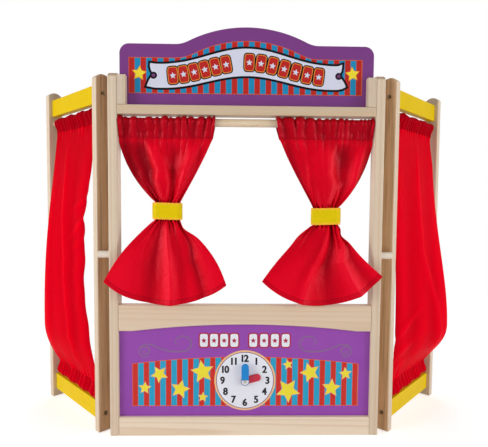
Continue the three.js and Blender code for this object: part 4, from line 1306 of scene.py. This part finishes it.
# The wings' curtains: the same red satin as in front, each with a narrow pocket sewn at both ends, gathered
# on the wing's two poles. The cloth is longer than the space between them, so it bellies outwards low
# down, and its free front edge draws back.
top_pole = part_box("side_pole_top_left")
bottom_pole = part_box("side_pole_bottom_left")
wing = {
    "middle": -15.2,
    "start": 19.0,
    "end": 184.2,
    "ease": 0.3,
    "rim": 0.7,
    "top": (top_pole[0].z + top_pole[1].z) / 2 / MM,
    "bottom": (bottom_pole[0].z + bottom_pole[1].z) / 2 / MM,
    "pole": (top_pole[1].z - top_pole[0].z) / 2 / MM,
}
pocket = {"depth": 24.0, "gather": 3.0, "rows": 12, "over": 12, "free": 130, "columns": 161}
belly = {"fullest": 0.82, "under": 0.18, "front": 0.25, "back": 1}


def side_curtain(shape):
    """The side curtain's centre surface along the wing, across it and up. Each pocket is a loop from its
    stitch line round the pole and back. The free cloth between them runs from the upper stitch line to the
    lower one, pulled back at its front edge and swelling outwards by a sine that is fullest low down, most
    at its back edge.

    A shape gives how far the cloth swells by its bulge and its stand, how late the bulge comes, how far
    the front edge is pulled back and how ragged it is, and where the upper pocket ends along the wing. It
    also gives the gathers' creases, how their reach into the cloth varies, the slanting puckers, the folds
    as the ridges of relief(), and the painted shade of the cloth's top and of the rest of it: below
    nothing it darkens, above nothing it lightens."""
    u = np.linspace(0, 1, pocket["columns"])[None, :]
    radius = wing["pole"] + CLOTH / 2 + wing["ease"]
    rim = radius + wing["rim"]
    upper = wing["top"] + rim - pocket["depth"]
    lower = wing["bottom"] - rim + pocket["depth"]

    def loop(creases, height, end, way):
        """A pocket's back, top and front, out to its end along the wing. way is 1 for the upper pocket
        and -1 for the lower one."""
        across = mix(wing["start"], end, u)
        uneven = 0.45 + 0.75 * np.sin(np.pi * (shape["sway"] + 3.7 * u)) ** 2
        gather = pocket["gather"] * uneven * scallops(u, creases) * (1 - 0.6 * u**8)
        stitch = height + way * (rim - pocket["depth"])
        t = down_rows(pocket["rows"])
        back = surface(
            across,
            wing["middle"] + mix(CLOTH, radius, smooth(t * 1.2)) + gather * mix(-1, 1, smooth(t)),
            mix(stitch, height, t),
        )
        turn = np.linspace(0, np.pi, pocket["over"] + 2)[1:-1, None]
        over = surface(
            across,
            wing["middle"] + (radius + gather) * np.cos(turn),
            height + way * (radius + gather * 1.1) * np.sin(turn),
        )
        face = surface(
            across,
            wing["middle"] - mix(radius, SEWN, smooth(t * 1.15)) - gather,
            mix(height, stitch, t),
        )
        return [back, over, face], gather

    top_loop, top_gather = loop(shape["top_creases"], wing["top"], shape["end"], 1)
    low_loop, low_gather = loop(shape["low_creases"], wing["bottom"], wing["end"], -1)
    t = down_rows(pocket["free"] + 1)[1:-1]
    rise = np.where(t < belly["fullest"], (t / belly["fullest"]) ** shape["late"], (1 - t) / belly["under"])
    swell = shape["bulge"] * np.sin(np.pi / 2 * rise) * mix(belly["front"], belly["back"], u)
    swell = swell + shape["stand"] * smooth(7 * t) * smooth(7 * (1 - t)) * u
    arch = np.sin(np.pi * t)
    waves, start = shape["reach"]
    long = 0.5 + 0.5 * np.sin(2 * np.pi * (waves * u + start))
    height = mix(upper, lower, t)
    fade_top = top_gather * np.exp(-(((upper - height) / (3 + 6 * long)) ** 1.2))
    fade_low = low_gather * np.exp(-(((height - lower) / (4 + 13 * long[:, ::-1])) ** 1.2))
    rough = np.sin(2 * np.pi * (3.3 * t + 0.1)) + 0.5 * np.sin(2 * np.pi * (8.2 * t + 0.4))
    folds = relief(u, t, shape["folds"]) * smooth(5 * t) * smooth(6 * (1 - t))
    puckers = slanting(u, height, *shape["puckers"])
    front_edge = wing["start"] + (shape["pull"] + shape["ragged"] * rough) * arch
    back_edge = mix(shape["end"], wing["end"], smooth(2 * t))
    depth = wing["middle"] - SEWN - swell - folds - puckers - fade_top - fade_low
    free = surface(mix(front_edge, back_edge, u), depth, height)
    return np.vstack([*top_loop, free, *[part[::-1] for part in low_loop[::-1]]])


def slanting(u, z, creases, high, middle, wide):
    """Short slanting creases about a place across the cloth, as high and wide as given. Each is its height
    at the front edge, its fall over the cloth's width, and its depth."""
    total = 0
    for height, fall, depth in creases:
        total = total + depth * np.exp(-(((z - height + fall * u) / high) ** 2) - ((u - middle) / wide) ** 2)
    return total


left_side = {
    "bulge": 31, "pull": 41, "late": 1.05, "end": 180.5, "stand": 0, "ragged": 3.2, "sway": 0.2,
    "shade": (-0.34, -0.02),
    "top_creases": [0.07, 0.15, 0.27, 0.36, 0.44, 0.50, 0.56, 0.64, 0.71, 0.79, 0.87, 0.94],
    "low_creases": [0.09, 0.2, 0.28, 0.36, 0.45, 0.52, 0.6, 0.68, 0.74, 0.82, 0.9],
    "reach": (2.6, 0.3),
    "puckers": (((388, 66, 1.6), (352, 92.4, 2.2), (318, 52.8, 1.4)), 7, 0, 0.28),
    "folds": [
        ((0.14, 0.14, 0.12), (0.14, 0.12, 0.14), (0.8, 1.5, 1.2), 2.0),
        ((0.36, 0.32, 0.28), (0.12, 0.10, 0.12), (-0.6, -1.2, -1.0), 1.8),
        ((0.66, 0.50, 0.40), (0.030, 0.035, 0.05), (1.5, 1.9, 1.3), 1.2),
        ((0.86, 0.84, 0.80), (0.12, 0.12, 0.12), (-0.6, -1.0, -1.2), 1.9),
        ((1.0, 1.0, 1.0), (0.06, 0.06, 0.06), (-1.0, -1.5, -3.0), 1.6),
    ],
}
right_side = {
    "bulge": 38, "pull": 8, "late": 1.9, "end": 184.2, "stand": 5, "ragged": 0, "sway": 0.7,
    "shade": (-0.08, 0.12),
    "top_creases": [0.08, 0.16, 0.25, 0.33, 0.38, 0.43, 0.49, 0.56, 0.65, 0.73, 0.8, 0.88, 0.94],
    "low_creases": [0.08, 0.17, 0.26, 0.34, 0.43, 0.5, 0.58, 0.66, 0.74, 0.83, 0.92],
    "reach": (2.2, 0.45),
    "puckers": (((150, -90, 1.8), (118, -60, 1.6), (96, -30, 1.2)), 8, 0.15, 0.3),
    "folds": [
        ((0.10, 0.12, 0.12), (0.14, 0.12, 0.14), (0.6, 1.2, 1.2), 2.0),
        ((0.38, 0.34, 0.34), (0.14, 0.13, 0.12), (-0.6, -1.2, -1.8), 1.9),
        ((0.58, 0.57, 0.93), (0.030, 0.035, 0.06), (1.8, 2.3, 2.0), 1.2),
        ((0.80, 0.78, 0.70), (0.11, 0.10, 0.14), (-0.6, -1.2, -2.0), 1.9),
    ],
}
side_flat = (0.19, 0.545)
side_satin = {"shine": 0.005, "bright": "#f8001e", "deep": "#d00016"}
for name, shape in {"left": left_side, "right": right_side}.items():
    local = side_curtain(shape)
    rows = flat_rows(local, side_flat[1])
    sewn_row = 2 * pocket["rows"] + pocket["over"] - 1
    seams = [float(rows[sewn_row]), float(rows[-1 - sewn_row])]
    # Painted shade: the cloth's top and the rest take their shape's painted shade, and the folds' painted
    # shade and highlight are weaker than in front.
    top_shade = mix(*shape["shade"], smooth(2.2 * rows / side_flat[1]))[:, None]
    curtain = cloth_piece(
        f"curtain_side_{name}",
        on_wing(local, SIDES[name]),
        side_flat,
        satin(f"satin_side_{name}", side_flat[1], seams, **side_satin),
        f"{name}_wing",
        0.6 * fold_heights(local[..., 1]) + top_shade,
    )
    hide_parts(f"side_curtain_{name}")

# The studio: a pale floor, four soft lamps and an even sky. The floor shows white to the camera and keeps
# the stand's shadow.
scene = bpy.context.scene
scene.view_settings.view_transform = "Standard"
white = (1, 1, 1, 1)
seen = {"level": 1.0, "sky": 0.33, "floor": 0.92, "floor_glow": 0.52}


def add_seen(finish):
    """One for the rays that carry a picture of the surroundings: the camera's, mirrored and clear ones."""
    rays = node(finish, "LightPath", {}).outputs
    seen_ray = rays["Is Camera Ray"]
    for kind in ("Is Glossy Ray", "Is Transmission Ray"):
        seen_ray = calc(finish, "MAXIMUM", seen_ray, rays[kind])
    return seen_ray


sky = bpy.data.worlds.new("studio_sky")
sky.use_nodes = True
scene.world = sky
strength = spread(sky, add_seen(sky), seen["sky"], seen["level"])
background = sky.node_tree.nodes["Background"]
background.inputs["Color"].default_value = white
sky.node_tree.links.new(strength, background.inputs["Strength"])

floor_mesh = bpy.data.meshes.new("floor")
floor_ring = np.c_[circle(0, 0, 6.0, 96), np.zeros(96)]
floor_mesh.from_pydata(floor_ring.tolist(), [], [list(range(96))])
floor = bpy.data.objects.new("floor", floor_mesh)
scene.collection.objects.link(floor)
paper_colour = (seen["floor"], seen["floor"], seen["floor"], 1)
paper, paper_shader = new_finish("floor_paper", 0.9, Base_Color=paper_colour, Specular_IOR_Level=0.1)
seen_ray = add_seen(paper)
glow = node(paper, "Emission", {"Color": white, "Strength": spread(paper, seen_ray, 0.0, seen["floor_glow"])})
near = node(paper, "AddShader", {0: paper_shader.outputs[0], 1: glow.outputs[0]})
away = vector_calc(paper, "LENGTH", object_place(paper), result="Value")
far_seen = calc(paper, "MULTIPLY", between(paper, away, 0.6, 1.6), seen_ray)
plain = node(paper, "Emission", {"Color": white, "Strength": seen["level"]})
ground = node(paper, "MixShader", {0: far_seen, 1: near.outputs[0], 2: plain.outputs[0]})
output = paper.node_tree.nodes["Material Output"]
paper.node_tree.links.new(ground.outputs[0], output.inputs["Surface"])
floor_mesh.materials.append(paper)

lamps = {
    "left_light": {"place": (-1.8, -0.9, 0.6), "size": 1.0, "power": 21.5},
    "right_light": {"place": (1.8, -0.9, 0.55), "size": 1.0, "power": 17},
    "low_light": {"place": (0.0, -1.9, 0.12), "size": 0.9, "power": 2},
    "back_light": {"place": (0.0, 2.0, 1.1), "size": 1.6, "power": 8},
}
for name, lamp in lamps.items():
    light = bpy.data.lights.new(name, "AREA")
    light.shape = "SQUARE"
    light.size = lamp["size"]
    light.energy = lamp["power"]
    holder = bpy.data.objects.new(name, light)
    holder.location = lamp["place"]
    aim = Matrix.Translation((0, 0, 0.3)).translation - holder.location
    holder.rotation_euler = aim.to_track_quat("-Z", "Y").to_euler()
    scene.collection.objects.link(holder)

# The camera stands where the photograph was taken, a little left of the middle and close in front.
view = {"place": (-0.01858, -0.7163, 0.38688), "lens": 32.85, "down": 3.147, "yaw": 1.2009, "roll": 0.4454}
down, yaw, roll = (math.radians(view[key]) for key in ("down", "yaw", "roll"))
lens = bpy.data.cameras.new("camera")
lens.lens = view["lens"]
lens.sensor_width = 36
lens.clip_start = 0.01
camera = bpy.data.objects.new("camera", lens)
ahead = np.array([math.sin(yaw) * math.cos(down), math.cos(yaw) * math.cos(down), -math.sin(down)])
level = np.array([math.cos(yaw), -math.sin(yaw), 0])
upward = np.cross(level, ahead)
right = level * math.cos(roll) + upward * math.sin(roll)
top = -level * math.sin(roll) + upward * math.cos(roll)
camera.matrix_world = Matrix.Translation(view["place"]) @ Matrix(np.c_[right, top, -ahead].tolist()).to_4x4()
scene.collection.objects.link(camera)
scene.camera = camera
